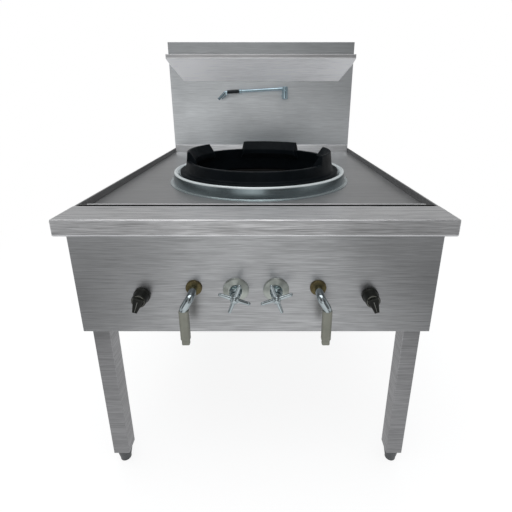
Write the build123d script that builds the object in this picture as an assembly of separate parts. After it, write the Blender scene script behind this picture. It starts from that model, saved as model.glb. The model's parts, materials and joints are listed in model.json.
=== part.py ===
from build123d import *

import math
import os

# Wok range with one ring, a tall splash with a shelf, and taps. Millimetres, +Z up.
# X runs to the right, the front faces -Y, and the floor is Z = 0.
# Sizes that end in DEPTH, or are called "behind", count from the worktop's front edge
# towards the wall. Sizes that end in RISE or DROP count from the worktop's top.

# Overall
WORKTOP_WIDTH = 900.0
WORKTOP_DEPTH = 1150.0
WORKTOP_HEIGHT = 765.0
SPLASH_RISE = 502.0
SPLASH_THICKNESS = 60.0
SPLASH_INSET = 2.0
SHEET = 1.5
BEND = 2.5

# Worktop
EDGE_DROP = 38.0
LEDGE_WIDTH = 107.0
LEDGE_LIP = 18.0
RIM_WIDTH = 6.0
RIM_BEND = 1.2
RECESS = 20.0
SLOT_WIDTH = 14.0
HEM = 3.0
HEM_BELOW_LEDGE = 1.0
COVING_FOOT = 16.0
COVING_RISE = 17.0
COVING_THICKNESS = 4.0
GUTTER_FRONT_GAP = 10.0
GUTTER_REAR_GAP = 24.0
GUTTER_DROP = 58.0
GUTTER_END = 36.0
DRAIN_RADIUS = 11.0
DRAIN_BORE = 9.0
DRAIN_LENGTH = 45.0
DRAIN_FROM_END = 40.0

# Cabinet and legs
OVERHANG = 20.0
CABINET_DROP = 300.0
REAR_OVERHANG = 10.0
LEG_SIZE = 45.0
LEG_WALL = 2.0
LEG_INSET = 12.5
FOOT_HEIGHT = 40.0
FOOT_TOP_RADIUS = 21.0
FOOT_PAD_RADIUS = 15.0
FOOT_PAD_HEIGHT = 5.0
STUD_RADIUS = 6.0
STUD_LENGTH = 42.0
PLUG_LENGTH = 30.0
RUNNING_FIT = 0.05

# Splash, shelf and faucet
SHELF_REACH = 87.0
SHELF_TOP_RISE = 440.0
SHELF_LIP = 19.0
SHELF_FOOT_RISE = 326.0
SHELF_HIP_RISE = 395.0
SHELF_HIP_INSET = 60.0
SHELF_SIDE_INSET = 8.0
SCREW_RADIUS = 2.0
SCREW_LENGTH = 8.0
SCREW_HEAD_RADIUS = 4.5
SCREW_HEAD = 2.2
COVER_RECESS = 3.0
SCREW_MARGIN = 20.0
SCREW_ROWS = 4
FAUCET_X = 115.0
FAUCET_STANDOFF = 60.0
FAUCET_BASE_RISE = 242.0
FAUCET_TOP_RISE = 300.0
FAUCET_RADIUS = 13.5
FAUCET_CAP = 17.0
FAUCET_ELBOW_RISE = 258.0
ELBOW_RADIUS = 10.0
ROSE_RADIUS = 13.4
ROSE_THICKNESS = 6.0
PIVOT_RADIUS = 8.0
PIVOT_LENGTH = 20.0
ARM_RADIUS = 7.0
ARM_RISE = 291.0
ARM_DROOP = 12.0
ARM_REACH = 208.0
ARM_END_RADIUS = 4.0
FERRULE_RADIUS = 9.5
FERRULE_LENGTH = 12.0
GRIP_LENGTH = 58.0
GRIP_RADIUS = 8.2
NOZZLE_RADIUS = 5.5
NOZZLE_REACH = 44.0
NOZZLE_DROP = 34.0
NOZZLE_LEVEL = 11.0
NOZZLE_BEND = 14.0
OUTLET_LEVER_RADIUS = 3.0
OUTLET_LEVER_LENGTH = 31.0
OUTLET_LEVER_ANGLE = 46.0
OUTLET_PIVOT_AHEAD = 4.0
OUTLET_PIVOT_DROP = 9.8
OUTLET_PIN_RADIUS = 1.6
OUTLET_BOSS_RADIUS = 3.6
OUTLET_EAR = 3.0
OUTLET_EAR_GAP = 0.5

# Wok ring, collar and chamber
RING_DEPTH = 520.0
SEAT_INNER_RADIUS = 258.0
SEAT_WIDTH = 17.0
SEAT_RISE = 8.0
COLLAR_ROLL = 17.0
COLLAR_SPREAD = 5.0
COLLAR_FLANGE = 11.0
COLLAR_RISE = 16.0
SKIRT_DROP = 32.0
DECK_HOLE_GAP = 2.0
WOK_FLANGE_GAP = 2.5
WOK_FLANGE_THICKNESS = 10.0
WOK_WALL_INSET = 4.0
WOK_RIM_INSET = 10.0
WOK_RIM_RISE = 50.0
WOK_WALL = 13.0
WOK_LIP_GAP = 2.0
WOK_LIP_DEPTH = 40.0
WOK_LIP_WALL = 12.0
LUG_RISE = 80.0
LUG_BASE_ANGLE = 58.0
LUG_TOP_ANGLE = 52.0
RING_TURN = -10.0
LUG_TOP_THICKNESS = 9.0
LUG_INNER_REACH = 16.0
SHELL_GAP = 8.0
SHELL_WALL = 3.0
SHELL_DROP = 240.0
SHELL_FLANGE = 12.0
FLOOR_HOLE_RADIUS = 125.0
LINING_TOP_WALL = 26.0
LINING_FOOT_WALL = 70.0
LINING_TOP_DROP = 36.0

# Burners
BURNER_DROP = 185.0
BURNER_HEIGHT = 30.0
BURNER_OUTER = 115.0
BURNER_INNER = 62.0
CORE_RADIUS = 40.0
PORT_RADIUS = 3.5
PORT_DEPTH = 12.0
RING_PORTS = 20
CORE_PORTS = 8
CORE_PORT_RADIUS = 26.0
STAND_BAR = 12.0
STAND_LEGS = 3
STAND_TURN = 30.0
STAND_FOOT = 22.0
STAND_HUB = 9.0
MIXER_RADIUS = 14.0
MIXER_DROP = 268.0
MIXER_BEND = 32.0
PILOT_TUBE_RADIUS = 3.0
PILOT_TUBE_DROP = 247.0
PILOT_TUBE_BEND = 10.0
PILOT_TIP_RADIUS = 5.0
PILOT_TIP_LENGTH = 14.0
PILOT_TIP_X = 36.0
PILOT_TIP_AHEAD = 36.0

# Gas pipes and valves
MANIFOLD_BEHIND = 62.0
MANIFOLD_DROP = 237.0
MANIFOLD_RADIUS = 13.5
MANIFOLD_REACH = 300.0
SUPPLY_FROM_LEG = 38.0
PIPE_BEND = 28.0
INLET_RADIUS = 18.0
INLET_BORE = 12.1
INLET_SOCKET = 18.0
INLET_LENGTH = 44.0
VALVE_GAP = 3.0
VALVE_LENGTH = 62.0
VALVE_RADIUS = 17.0
VALVE_STEM_RADIUS = 6.0
VALVE_STEM_LENGTH = 20.0
PILOT_VALVE_LENGTH = 50.0
PILOT_VALVE_RADIUS = 11.0
PILOT_STEM_RADIUS = 4.0
PILOT_STEM_LENGTH = 14.0
BRANCH_RADIUS = 8.0

# Controls on the front panel: places are from the middle and from the worktop's top
KNOB_X = 273.0
KNOB_DROP = 197.0
KNOB_RADIUS = 18.5
KNOB_SKIRT_RADIUS = 20.0
KNOB_SKIRT = 6.0
KNOB_REACH = 30.0
KNOB_GAP = 1.0
POINTER_REACH = 27.0
POINTER_BACK = 11.0
POINTER_WIDTH = 25.0
POINTER_TIP_WIDTH = 11.0
POINTER_HEIGHT = 9.0
POINTER_TILT = 20.0
LEVER_X = 148.0
LEVER_DROP = 177.0
LEVER_DISC_RADIUS = 19.5
LEVER_DISC = 5.0
LEVER_DISC_EDGE = 1.5
LEVER_STANDOFF = 54.0
LEVER_TUBE_RADIUS = 9.5
LEVER_STUB = 48.0
LEVER_OFFSET = 15.0
LEVER_KNEE = 24.0
LEVER_BEND = 12.0
LEVER_NECK = 4.0
LEVER_SPIGOT = 16.0
LEVER_SPIGOT_RADIUS = 7.0
LEVER_GRIP_WIDTH = 22.0
LEVER_GRIP_DEPTH = 17.0
LEVER_GRIP_CORNER = 5.0
LEVER_GRIP_LENGTH = 90.0
LEVER_TIP_LENGTH = 15.0
LEVER_TIP_STEP = 2.0
TAP_X = 48.0
TAP_DROP = 183.0
TAP_FLANGE_RADIUS = 31.0
TAP_FLANGE = 8.0
TAP_FLANGE_RIM = 2.0
TAP_NECK_RADIUS = 15.0
TAP_NECK = 28.0
TAP_NUT_RADIUS = 12.0
TAP_NUT = 10.0
TAP_STEM_RADIUS = 5.0
TAP_STEM = 14.0
TAP_BODY_LENGTH = 56.0
TAP_BODY_RADIUS = 13.0
TAP_HUB_RADIUS = 9.5
TAP_HUB = 24.0
TAP_HUB_GAP = 0.5
TAP_ARM_LENGTH = 36.0
TAP_ARM_START = 7.0
TAP_ARM_RADIUS = 5.0
TAP_ARM_TIP_RADIUS = 4.0
TAP_ARM_TILT = 20.0

# Water pipes
WATER_BEHIND = 62.0
WATER_DROP = 142.0
WATER_RADIUS = 8.0
WATER_FROM_LEG = 25.0
WATER_INLET_RADIUS = 10.4
WATER_INLET_LENGTH = 22.0
WATER_HOLE_GAP = 0.9
FEED_RADIUS = 6.0
FEED_BEHIND = 108.0
FEED_DROP = 112.0
FEED_CLEAR = 33.0
FEED_BEND = 14.0
RINSE_BAR_DROP = 6.0
RINSE_HOLES = 12
RINSE_HOLE_RADIUS = 1.5

# Sizes that follow
PANEL_BEHIND = OVERHANG
LEVER_FRONT = LEVER_STANDOFF + LEVER_TUBE_RADIUS - PANEL_BEHIND
TOTAL_DEPTH = LEVER_FRONT + WORKTOP_DEPTH + SPLASH_THICKNESS
FRONT_Y = LEVER_FRONT - TOTAL_DEPTH / 2
HALF_WIDTH = WORKTOP_WIDTH / 2
CABINET_HALF = HALF_WIDTH - OVERHANG
CABINET_BACK = WORKTOP_DEPTH + SPLASH_THICKNESS - REAR_OVERHANG
SPLASH_HALF = HALF_WIDTH - SPLASH_INSET
LEG_X = CABINET_HALF - SHEET - LEG_INSET - LEG_SIZE / 2
LEG_FRONT = PANEL_BEHIND + SHEET + LEG_INSET + LEG_SIZE / 2
LEG_REAR = CABINET_BACK - SHEET - LEG_INSET - LEG_SIZE / 2
DECK_FRONT = LEDGE_WIDTH + SLOT_WIDTH
SUPPLY_X = LEG_X - LEG_SIZE / 2 - SUPPLY_FROM_LEG
WATER_X = LEG_X - LEG_SIZE / 2 - WATER_FROM_LEG
SEAT_OUTER_RADIUS = SEAT_INNER_RADIUS + SEAT_WIDTH
COLLAR_TOP_RADIUS = SEAT_OUTER_RADIUS + COLLAR_ROLL
COLLAR_WALL_RADIUS = COLLAR_TOP_RADIUS + COLLAR_SPREAD
COLLAR_FLANGE_RADIUS = COLLAR_WALL_RADIUS + COLLAR_FLANGE
WOK_FLANGE_RADIUS = SEAT_OUTER_RADIUS - WOK_FLANGE_GAP
WOK_WALL_RADIUS = SEAT_INNER_RADIUS - WOK_WALL_INSET
WOK_RIM_RADIUS = SEAT_INNER_RADIUS - WOK_RIM_INSET
SHELL_RADIUS = SEAT_INNER_RADIUS + SHELL_GAP
FEED_X = SHELL_RADIUS + SHELL_WALL + FEED_CLEAR + FEED_RADIUS
MID = SHEET / 2
SIDES = {"left": -1, "right": 1}
LEG_PLACES = {
    f"{end}_{side}": (sign * LEG_X, depth)
    for side, sign in SIDES.items()
    for end, depth in (("front", LEG_FRONT), ("rear", LEG_REAR))
}


def y_at(behind):
    """Y of a place so far behind the worktop's front edge."""
    return FRONT_Y + behind


def z_at(rise):
    """Z of a place so far above the worktop's top."""
    return WORKTOP_HEIGHT + rise


PANEL_Y = y_at(PANEL_BEHIND)
RING_Y = y_at(RING_DEPTH)
SPLASH_Y = y_at(WORKTOP_DEPTH)
BACK_Y = SPLASH_Y + SPLASH_THICKNESS
CAVITY_Y = SPLASH_Y + SPLASH_THICKNESS / 2
DECK_Z = z_at(-RECESS)
DECK_UNDER = DECK_Z - SHEET
CABINET_Z = z_at(-CABINET_DROP)
EDGE_Z = z_at(-EDGE_DROP)
BASE = (Align.CENTER, Align.CENTER, Align.MIN)


def block(x, y, z):
    """Box between three pairs of limits."""
    low, high = zip(x, y, z)
    size = [b - a for a, b in zip(low, high)]
    middle = [(a + b) / 2 for a, b in zip(low, high)]
    return Pos(*middle) * Box(*size)


def rod_z(x, y, radius, bottom, top):
    """Upright cylinder."""
    return Pos(x, y, (bottom + top) / 2) * Cylinder(radius, top - bottom)


def rod_y(x, z, radius, front, back):
    """Cylinder that runs from front to back."""
    return Pos(x, (front + back) / 2, z) * Rot(90, 0, 0) * Cylinder(radius, back - front)


def rod(start, end, radius, end_radius=None):
    """Cylinder, or a tapered one, from one point to another."""
    run = Vector(*end) - Vector(*start)
    place = Plane(origin=start, z_dir=run)
    if end_radius:
        return place * Cone(radius, end_radius, run.length, align=BASE)
    return place * Cylinder(radius, run.length, align=BASE)


def pipe(points, radius, bend):
    """Round bar along straight runs joined by equal bends."""
    run = Vector(*points[1]) - Vector(*points[0])
    section = Plane(origin=points[0], z_dir=run) * Circle(radius)
    return sweep(section, path=FilletPolyline(*points, radius=bend))


def strip(points, bend=BEND, thickness=SHEET):
    """Section of folded sheet, given the middle of its thickness."""
    path = FilletPolyline(*points, radius=bend) if bend else Polyline(*points)
    return trace(path, line_width=thickness)


def along_x(section, left, right):
    """Section in Y and Z, run from left to right."""
    return extrude(Plane(origin=(left, 0, 0), x_dir=(0, 1, 0), z_dir=(1, 0, 0)) * section, right - left)


def along_y(section, front, back):
    """Section in X and Z, run from front to back."""
    return extrude(Plane(origin=(0, back, 0), x_dir=(1, 0, 0), z_dir=(0, -1, 0)) * section, back - front)


def turned(section, x=0.0, y=0.0):
    """Section in radius and Z, turned about an upright axis."""
    return Pos(x, y, 0) * revolve(Plane.XZ * section, axis=Axis.Z)


def turned_forward(section, x, z):
    """Section in radius and forward reach, turned about a line that runs from the panel to the front."""
    solid = revolve(Plane.XZ * section, axis=Axis.Z)
    return Pos(x, PANEL_Y, z) * Rot(90, 0, 0) * solid


def saddle(x, y, z, pipe_z, radius, pipe_radius):
    """Upright branch from a valve, cut to sit on a pipe that runs from left to right."""
    branch = rod_z(x, y, radius, min(z, pipe_z), max(z, pipe_z))
    return branch - rod((x - 2 * radius, y, pipe_z), (x + 2 * radius, y, pipe_z), pipe_radius)


def polygon(*points):
    """Flat face with straight sides."""
    return make_face(Polyline(*points, close=True))


def group(solids):
    """Separate solids kept together in one node."""
    return Compound(children=[solid.solid() for solid in solids])


def mirrored(solid, sign):
    """The solid itself on the right (+1), or its mirror image on the left (-1)."""
    return solid if sign > 0 else mirror(solid, about=Plane.YZ)


# Worktop

def front_ledge():
    """Folded ledge along the front, with its two end faces."""
    section = strip([
        (y_at(LEDGE_WIDTH - MID), z_at(-LEDGE_LIP)),
        (y_at(LEDGE_WIDTH - MID), z_at(-MID)),
        (y_at(MID), z_at(-MID)),
        (y_at(MID), z_at(-EDGE_DROP + MID)),
        (y_at(PANEL_BEHIND), z_at(-EDGE_DROP + MID)),
    ])
    ledge = along_x(section, -HALF_WIDTH + SHEET, HALF_WIDTH - SHEET)
    outline = RectangleRounded(LEDGE_WIDTH, EDGE_DROP, BEND + MID)
    for sign in SIDES.values():
        edge = sign * HALF_WIDTH
        end = along_x(outline, min(edge, edge - sign * SHEET), max(edge, edge - sign * SHEET))
        ledge += Pos(0, y_at(LEDGE_WIDTH / 2), z_at(-EDGE_DROP / 2)) * end
    return ledge


def rim(sign):
    """Folded rim along one side, which stands on the deck and closes the worktop's edge."""
    outer = HALF_WIDTH - MID
    inner = HALF_WIDTH - RIM_WIDTH + MID
    section = strip([
        (inner, DECK_Z),
        (inner, z_at(-MID)),
        (outer, z_at(-MID)),
        (outer, EDGE_Z + MID),
        (CABINET_HALF, EDGE_Z + MID),
    ], bend=RIM_BEND)
    return mirrored(along_y(section, y_at(LEDGE_WIDTH), SPLASH_Y), sign)


def deck_plate():
    """Recessed plate with a turned-up, hemmed front edge and the hole for the collar."""
    half = HALF_WIDTH - RIM_WIDTH + SHEET
    plate = block((-half, half), (y_at(DECK_FRONT), SPLASH_Y), (DECK_UNDER, DECK_Z))
    clear = HALF_WIDTH - RIM_WIDTH
    hem = along_x(
        Pos(y_at(DECK_FRONT + HEM / 2), (DECK_Z + z_at(-HEM_BELOW_LEDGE)) / 2)
        * Rectangle(HEM, RECESS - HEM_BELOW_LEDGE),
        -clear, clear,
    )
    top_edges = hem.edges().filter_by(Axis.X).group_by(Axis.Z)[-1]
    plate += fillet(top_edges, HEM / 2 - RUNNING_FIT)
    hole = rod_z(0, RING_Y, SEAT_INNER_RADIUS + DECK_HOLE_GAP, DECK_UNDER - SHEET, DECK_Z + SHEET)
    return plate - hole


def rear_coving():
    """Sloped strip between the deck and the splash."""
    half = HALF_WIDTH - RIM_WIDTH
    foot = SPLASH_Y - COVING_FOOT
    section = polygon(
        (foot, DECK_Z),
        (foot + COVING_THICKNESS, DECK_Z),
        (SPLASH_Y, z_at(COVING_RISE) - COVING_THICKNESS),
        (SPLASH_Y, z_at(COVING_RISE)),
    )
    return along_x(section, -half, half)


def gutter():
    """Trough below the slot behind the ledge, with its drain."""
    front = LEDGE_WIDTH - SHEET - MID
    rear = DECK_FRONT + GUTTER_REAR_GAP
    half = HALF_WIDTH - GUTTER_END
    section = strip([
        (y_at(front), z_at(-GUTTER_FRONT_GAP)),
        (y_at(front), z_at(-GUTTER_DROP + MID)),
        (y_at(rear), z_at(-GUTTER_DROP + MID)),
        (y_at(rear), DECK_UNDER),
    ])
    trough = along_x(section, -half, half)
    y = y_at((front + rear) / 2)
    for sign in SIDES.values():
        inside, outside = sorted((sign * half, sign * (half - SHEET)))
        trough += block(
            (inside, outside), (y_at(front), y_at(rear)), (z_at(-GUTTER_DROP), DECK_UNDER)
        )
    x = half - DRAIN_FROM_END
    spout = rod_z(x, y, DRAIN_RADIUS, z_at(-GUTTER_DROP - DRAIN_LENGTH), z_at(-GUTTER_DROP) + MID)
    bore = rod_z(x, y, DRAIN_BORE, z_at(-GUTTER_DROP - DRAIN_LENGTH), z_at(-GUTTER_DROP) + BEND)
    return trough + spout - bore


# Cabinet, legs and feet

def front_panel():
    """Front sheet with holes for the controls and a returned bottom edge."""
    half = CABINET_HALF
    panel = block((-half, half), (PANEL_Y, PANEL_Y + SHEET), (CABINET_Z, z_at(-SHEET)))
    inner = half - SHEET
    reach = PANEL_Y + SHEET + LEG_INSET
    panel += block((-inner, inner), (PANEL_Y + MID, reach), (CABINET_Z, CABINET_Z + SHEET))
    holes = (
        (KNOB_X, KNOB_DROP, PILOT_STEM_RADIUS),
        (LEVER_X, LEVER_DROP, VALVE_STEM_RADIUS),
        (TAP_X, TAP_DROP, TAP_BODY_RADIUS),
    )
    for x, drop, radius in holes:
        for sign in SIDES.values():
            panel -= rod_y(sign * x, z_at(-drop), radius + RUNNING_FIT, PANEL_Y - SHEET, PANEL_Y + LEG_INSET)
    return panel


def side_panel(sign):
    """Side sheet, folded in at the top and bottom as far as the legs."""
    section = strip([
        (CABINET_HALF - SHEET - LEG_INSET, DECK_UNDER - MID),
        (CABINET_HALF - MID, DECK_UNDER - MID),
        (CABINET_HALF - MID, CABINET_Z + MID),
        (CABINET_HALF - SHEET - LEG_INSET, CABINET_Z + MID),
    ])
    front = PANEL_Y + SHEET + LEG_INSET
    low = along_y(section, front, y_at(CABINET_BACK) - SHEET - LEG_INSET)
    x = (CABINET_HALF - SHEET, CABINET_HALF)
    low += block(x, (PANEL_Y + SHEET, front), (CABINET_Z, EDGE_Z))
    back = y_at(CABINET_BACK) - SHEET
    low += block(x, (back - LEG_INSET, back), (CABINET_Z, EDGE_Z))
    splash_room = block(
        (0, HALF_WIDTH), (SPLASH_Y, BACK_Y), (EDGE_Z, z_at(0))
    )
    return mirrored(low - splash_room, sign)


def rear_panel():
    """Rear sheet with holes for the gas inlet and the water inlet."""
    back = y_at(CABINET_BACK)
    half = CABINET_HALF
    panel = block((-half, half), (back - SHEET, back), (CABINET_Z, EDGE_Z))
    inner = half - SHEET
    foot = block((-inner, inner), (back - SHEET - LEG_INSET, back - MID), (CABINET_Z, CABINET_Z + SHEET))
    panel += foot
    gas = rod_y(-SUPPLY_X, z_at(-MANIFOLD_DROP), INLET_RADIUS + RUNNING_FIT, back - BEND, back + BEND)
    water = rod_y(WATER_X, z_at(-WATER_DROP), WATER_INLET_RADIUS + WATER_HOLE_GAP, back - BEND, back + BEND)
    return panel - gas - water


def leg(place):
    """Square tube; a front leg reaches the ledge's top and a rear one the foot of the splash."""
    x, behind = LEG_PLACES[place]
    top = z_at(-SHEET) if place.startswith("front") else EDGE_Z
    outside = Rectangle(LEG_SIZE, LEG_SIZE)
    outside = fillet(outside.vertices(), BEND)
    inside = Rectangle(LEG_SIZE - 2 * LEG_WALL, LEG_SIZE - 2 * LEG_WALL)
    tube = extrude(outside - inside, top - FOOT_HEIGHT)
    return Pos(x, y_at(behind), FOOT_HEIGHT) * tube


def leg_plugs():
    """Threaded plugs in the lower ends of the legs."""
    side = LEG_SIZE - 2 * LEG_WALL
    plugs = []
    for x, behind in LEG_PLACES.values():
        y = y_at(behind)
        low, high = FOOT_HEIGHT, FOOT_HEIGHT + PLUG_LENGTH
        plug = block((x - side / 2, x + side / 2), (y - side / 2, y + side / 2), (low, high))
        plugs.append(plug - rod_z(x, y, STUD_RADIUS + RUNNING_FIT, low, high))
    return group(plugs)


def foot(place):
    """Levelling foot: a tapered bullet on a pad, with its stud in the leg's plug."""
    x, behind = LEG_PLACES[place]
    outline = polygon(
        (0, 0),
        (FOOT_PAD_RADIUS, 0),
        (FOOT_PAD_RADIUS, FOOT_PAD_HEIGHT),
        (FOOT_TOP_RADIUS, FOOT_HEIGHT - FOOT_PAD_HEIGHT),
        (FOOT_TOP_RADIUS, FOOT_HEIGHT),
        (STUD_RADIUS, FOOT_HEIGHT),
        (STUD_RADIUS, FOOT_HEIGHT + STUD_LENGTH),
        (0, FOOT_HEIGHT + STUD_LENGTH),
    )
    return turned(outline, x, y_at(behind))


# Splash, shelf and faucet

def splash_front():
    """Front and sides of the splash in one sheet, folded back at the top."""
    top = z_at(SPLASH_RISE)
    outside = block((-SPLASH_HALF, SPLASH_HALF), (SPLASH_Y, BACK_Y), (EDGE_Z, top))
    inner = SPLASH_HALF - SHEET
    inside = block((-inner, inner), (SPLASH_Y + SHEET, BACK_Y), (EDGE_Z, top - SHEET))
    folds = outside.edges().filter_by(Axis.Z).group_by(Axis.Y)[0]
    shell = fillet(folds, SHEET) - inside
    z = z_at(FAUCET_ELBOW_RISE)
    return shell - rod_y(FAUCET_X, z, ELBOW_RADIUS + RUNNING_FIT, SPLASH_Y - SHEET, SPLASH_Y + BEND)


def screw_places():
    """Places of the screws of the splash's back cover, in X and Z."""
    x = SPLASH_HALF - SCREW_MARGIN
    bottom, top = EDGE_Z + SCREW_MARGIN, z_at(SPLASH_RISE) - SCREW_MARGIN
    step = (top - bottom) / (SCREW_ROWS - 1)
    return [(sign * x, bottom + row * step) for sign in SIDES.values() for row in range(SCREW_ROWS)]


def splash_back():
    """Flat back cover of the splash, set a little into its sides."""
    half = SPLASH_HALF - SHEET
    back = BACK_Y - COVER_RECESS
    cover = block((-half, half), (back - SHEET, back), (EDGE_Z, z_at(SPLASH_RISE) - SHEET))
    for x, z in screw_places():
        cover -= rod_y(x, z, SCREW_RADIUS + RUNNING_FIT, back - BEND, BACK_Y)
    return cover


def splash_screws():
    """Screws of the back cover."""
    screws = []
    back = BACK_Y - COVER_RECESS
    for x, z in screw_places():
        shank = rod_y(x, z, SCREW_RADIUS, back - SCREW_LENGTH, back)
        screws.append(shank + rod_y(x, z, SCREW_HEAD_RADIUS, back, back + SCREW_HEAD))
    return group(screws)


def shelf_block(inset):
    """Solid shape of the shelf, or of its hollow when inset by the sheet's thickness."""
    half = SPLASH_HALF - SHELF_SIDE_INSET - inset
    fall = SHELF_TOP_RISE - SHELF_LIP - SHELF_FOOT_RISE
    lift = inset * math.hypot(SHELF_REACH, fall) / SHELF_REACH
    lip = SPLASH_Y - SHELF_REACH + inset
    lip_foot = z_at(SHELF_TOP_RISE - SHELF_LIP) + lift - inset * fall / SHELF_REACH
    foot = z_at(SHELF_FOOT_RISE) + lift
    hip = z_at(SHELF_HIP_RISE) + lift
    top = z_at(SHELF_TOP_RISE) - inset
    section = polygon((lip, top), (lip, lip_foot), (SPLASH_Y, foot), (SPLASH_Y, top))
    solid = along_x(section, -half, half)
    for sign in SIDES.values():
        corner = Vector(sign * half, lip, lip_foot)
        side = Vector(sign * half, SPLASH_Y, hip)
        inner = Vector(sign * (half - SHELF_HIP_INSET), SPLASH_Y, foot)
        normal = (side - corner).cross(inner - corner) * -sign
        solid = split(solid, bisect_by=Plane(origin=corner, z_dir=normal), keep=Keep.BOTTOM)
    return solid


def shelf():
    """Shelf with a lip, a sloped underside and hipped ends, open towards the splash."""
    return shelf_block(0) - shelf_block(SHEET)


def faucet_elbow():
    """Upright body of the faucet, its branch through the splash and its rose."""
    y = SPLASH_Y - FAUCET_STANDOFF
    top = z_at(FAUCET_TOP_RISE - FAUCET_CAP)
    z = z_at(FAUCET_ELBOW_RISE)
    outline = Pos(FAUCET_RADIUS / 2, (z_at(FAUCET_BASE_RISE) + top) / 2) * Rectangle(
        FAUCET_RADIUS, top - z_at(FAUCET_BASE_RISE)
    )
    corner = outline.vertices().group_by(Axis.Y)[0].sort_by(Axis.X)[-1]
    body = turned(fillet(corner, BEND), FAUCET_X, y)
    body += rod_y(FAUCET_X, z, ELBOW_RADIUS, y, CAVITY_Y + ELBOW_RADIUS)
    rose = rod_y(FAUCET_X, z, ROSE_RADIUS, SPLASH_Y - ROSE_THICKNESS, SPLASH_Y)
    body += chamfer(rose.edges().group_by(Axis.Y)[0], ROSE_THICKNESS / 2)
    body -= rod((FAUCET_X, CAVITY_Y, z), (FAUCET_X + 2 * ELBOW_RADIUS, CAVITY_Y, z), FEED_RADIUS + RUNNING_FIT)
    return body - rod_z(FAUCET_X, y, PIVOT_RADIUS + RUNNING_FIT, top - PIVOT_LENGTH - SHEET, top)


def arm_point(along, lift=0.0):
    """Point of the faucet's arm so far from its pivot, measured along the arm."""
    slope = ARM_DROOP / ARM_REACH
    return (FAUCET_X - along, SPLASH_Y - FAUCET_STANDOFF, z_at(ARM_RISE) - slope * along + lift)


def faucet_arm():
    """Swinging arm: its cap and pivot on the body, the tube, and a thin end inside the grip."""
    x, y, _ = arm_point(0)
    low = z_at(FAUCET_TOP_RISE - FAUCET_CAP)
    high = z_at(FAUCET_TOP_RISE)
    cap = rod_z(x, y, FAUCET_RADIUS, low, high)
    arm = fillet(cap.edges().group_by(Axis.Z)[-1], BEND)
    arm += rod_z(x, y, PIVOT_RADIUS, low - PIVOT_LENGTH, low)
    arm += rod(arm_point(0), arm_point(ARM_REACH), ARM_RADIUS)
    arm += rod(arm_point(ARM_REACH), arm_point(ARM_REACH + FERRULE_LENGTH), FERRULE_RADIUS)
    tip = ARM_REACH + FERRULE_LENGTH + GRIP_LENGTH
    arm += rod(arm_point(ARM_REACH), arm_point(tip), ARM_END_RADIUS)
    return arm


def faucet_grip():
    """Black sleeve near the end of the arm."""
    start = arm_point(ARM_REACH + FERRULE_LENGTH)
    end = arm_point(ARM_REACH + FERRULE_LENGTH + GRIP_LENGTH)
    sleeve = rod(start, end, GRIP_RADIUS)
    ends = sleeve.edges().filter_by(GeomType.CIRCLE)
    return fillet(ends, SHEET) - rod(start, end, ARM_END_RADIUS)


def outlet_pivot():
    """Middle of the pin on which the outlet lever tips."""
    x, y, z = arm_point(ARM_REACH + FERRULE_LENGTH + GRIP_LENGTH + OUTLET_PIVOT_AHEAD)
    return x, y, z - OUTLET_PIVOT_DROP


def faucet_nozzle():
    """Outlet tube that bends down from the end of the arm, with the ears and pin of its lever."""
    start = ARM_REACH + FERRULE_LENGTH + GRIP_LENGTH
    x, y, z = arm_point(start)
    end = (x - NOZZLE_REACH, y, z - NOZZLE_DROP)
    tube = pipe([(x, y, z), arm_point(start + NOZZLE_LEVEL), end], NOZZLE_RADIUS, NOZZLE_BEND)
    px, py, pz = outlet_pivot()
    half = OUTLET_LEVER_RADIUS + OUTLET_EAR_GAP
    for side in (-1, 1):
        limits = sorted((py + side * half, py + side * (half + OUTLET_EAR)))
        tube += block((px - OUTLET_EAR, px + OUTLET_EAR), limits, (pz - OUTLET_EAR, z))
    return tube + rod_y(px, pz, OUTLET_PIN_RADIUS, py - half - SHEET, py + half + SHEET)


def outlet_lever():
    """Short lever beside the outlet, bored for its pin."""
    px, py, pz = outlet_pivot()
    angle = math.radians(OUTLET_LEVER_ANGLE)
    reach, fall = OUTLET_LEVER_LENGTH * math.sin(angle), OUTLET_LEVER_LENGTH * math.cos(angle)
    half = OUTLET_LEVER_RADIUS + OUTLET_EAR_GAP / 2
    lever = rod_y(px, pz, OUTLET_BOSS_RADIUS, py - half, py + half)
    lever += rod((px, py, pz), (px - reach, py, pz - fall), OUTLET_LEVER_RADIUS)
    return lever - rod_y(px, pz, OUTLET_PIN_RADIUS + RUNNING_FIT, py - 2 * half, py + 2 * half)


# Collar, wok ring, chamber and burners

def collar_ring():
    """Spun collar on the deck, rolled over at the top, with the seat and skirt for the wok ring."""
    top = z_at(COLLAR_RISE - MID)
    seat = z_at(SEAT_RISE - MID)
    roll = (COLLAR_TOP_RADIUS - SEAT_OUTER_RADIUS) / 3
    section = strip([
        (COLLAR_FLANGE_RADIUS, DECK_Z + MID),
        (COLLAR_WALL_RADIUS, DECK_Z + MID),
        (COLLAR_TOP_RADIUS, top),
        (COLLAR_TOP_RADIUS - roll, top),
        (SEAT_OUTER_RADIUS, seat),
        (SEAT_INNER_RADIUS, seat),
        (SEAT_INNER_RADIUS, z_at(-SKIRT_DROP)),
    ], bend=BEND)
    return turned(section, 0, RING_Y)


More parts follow.
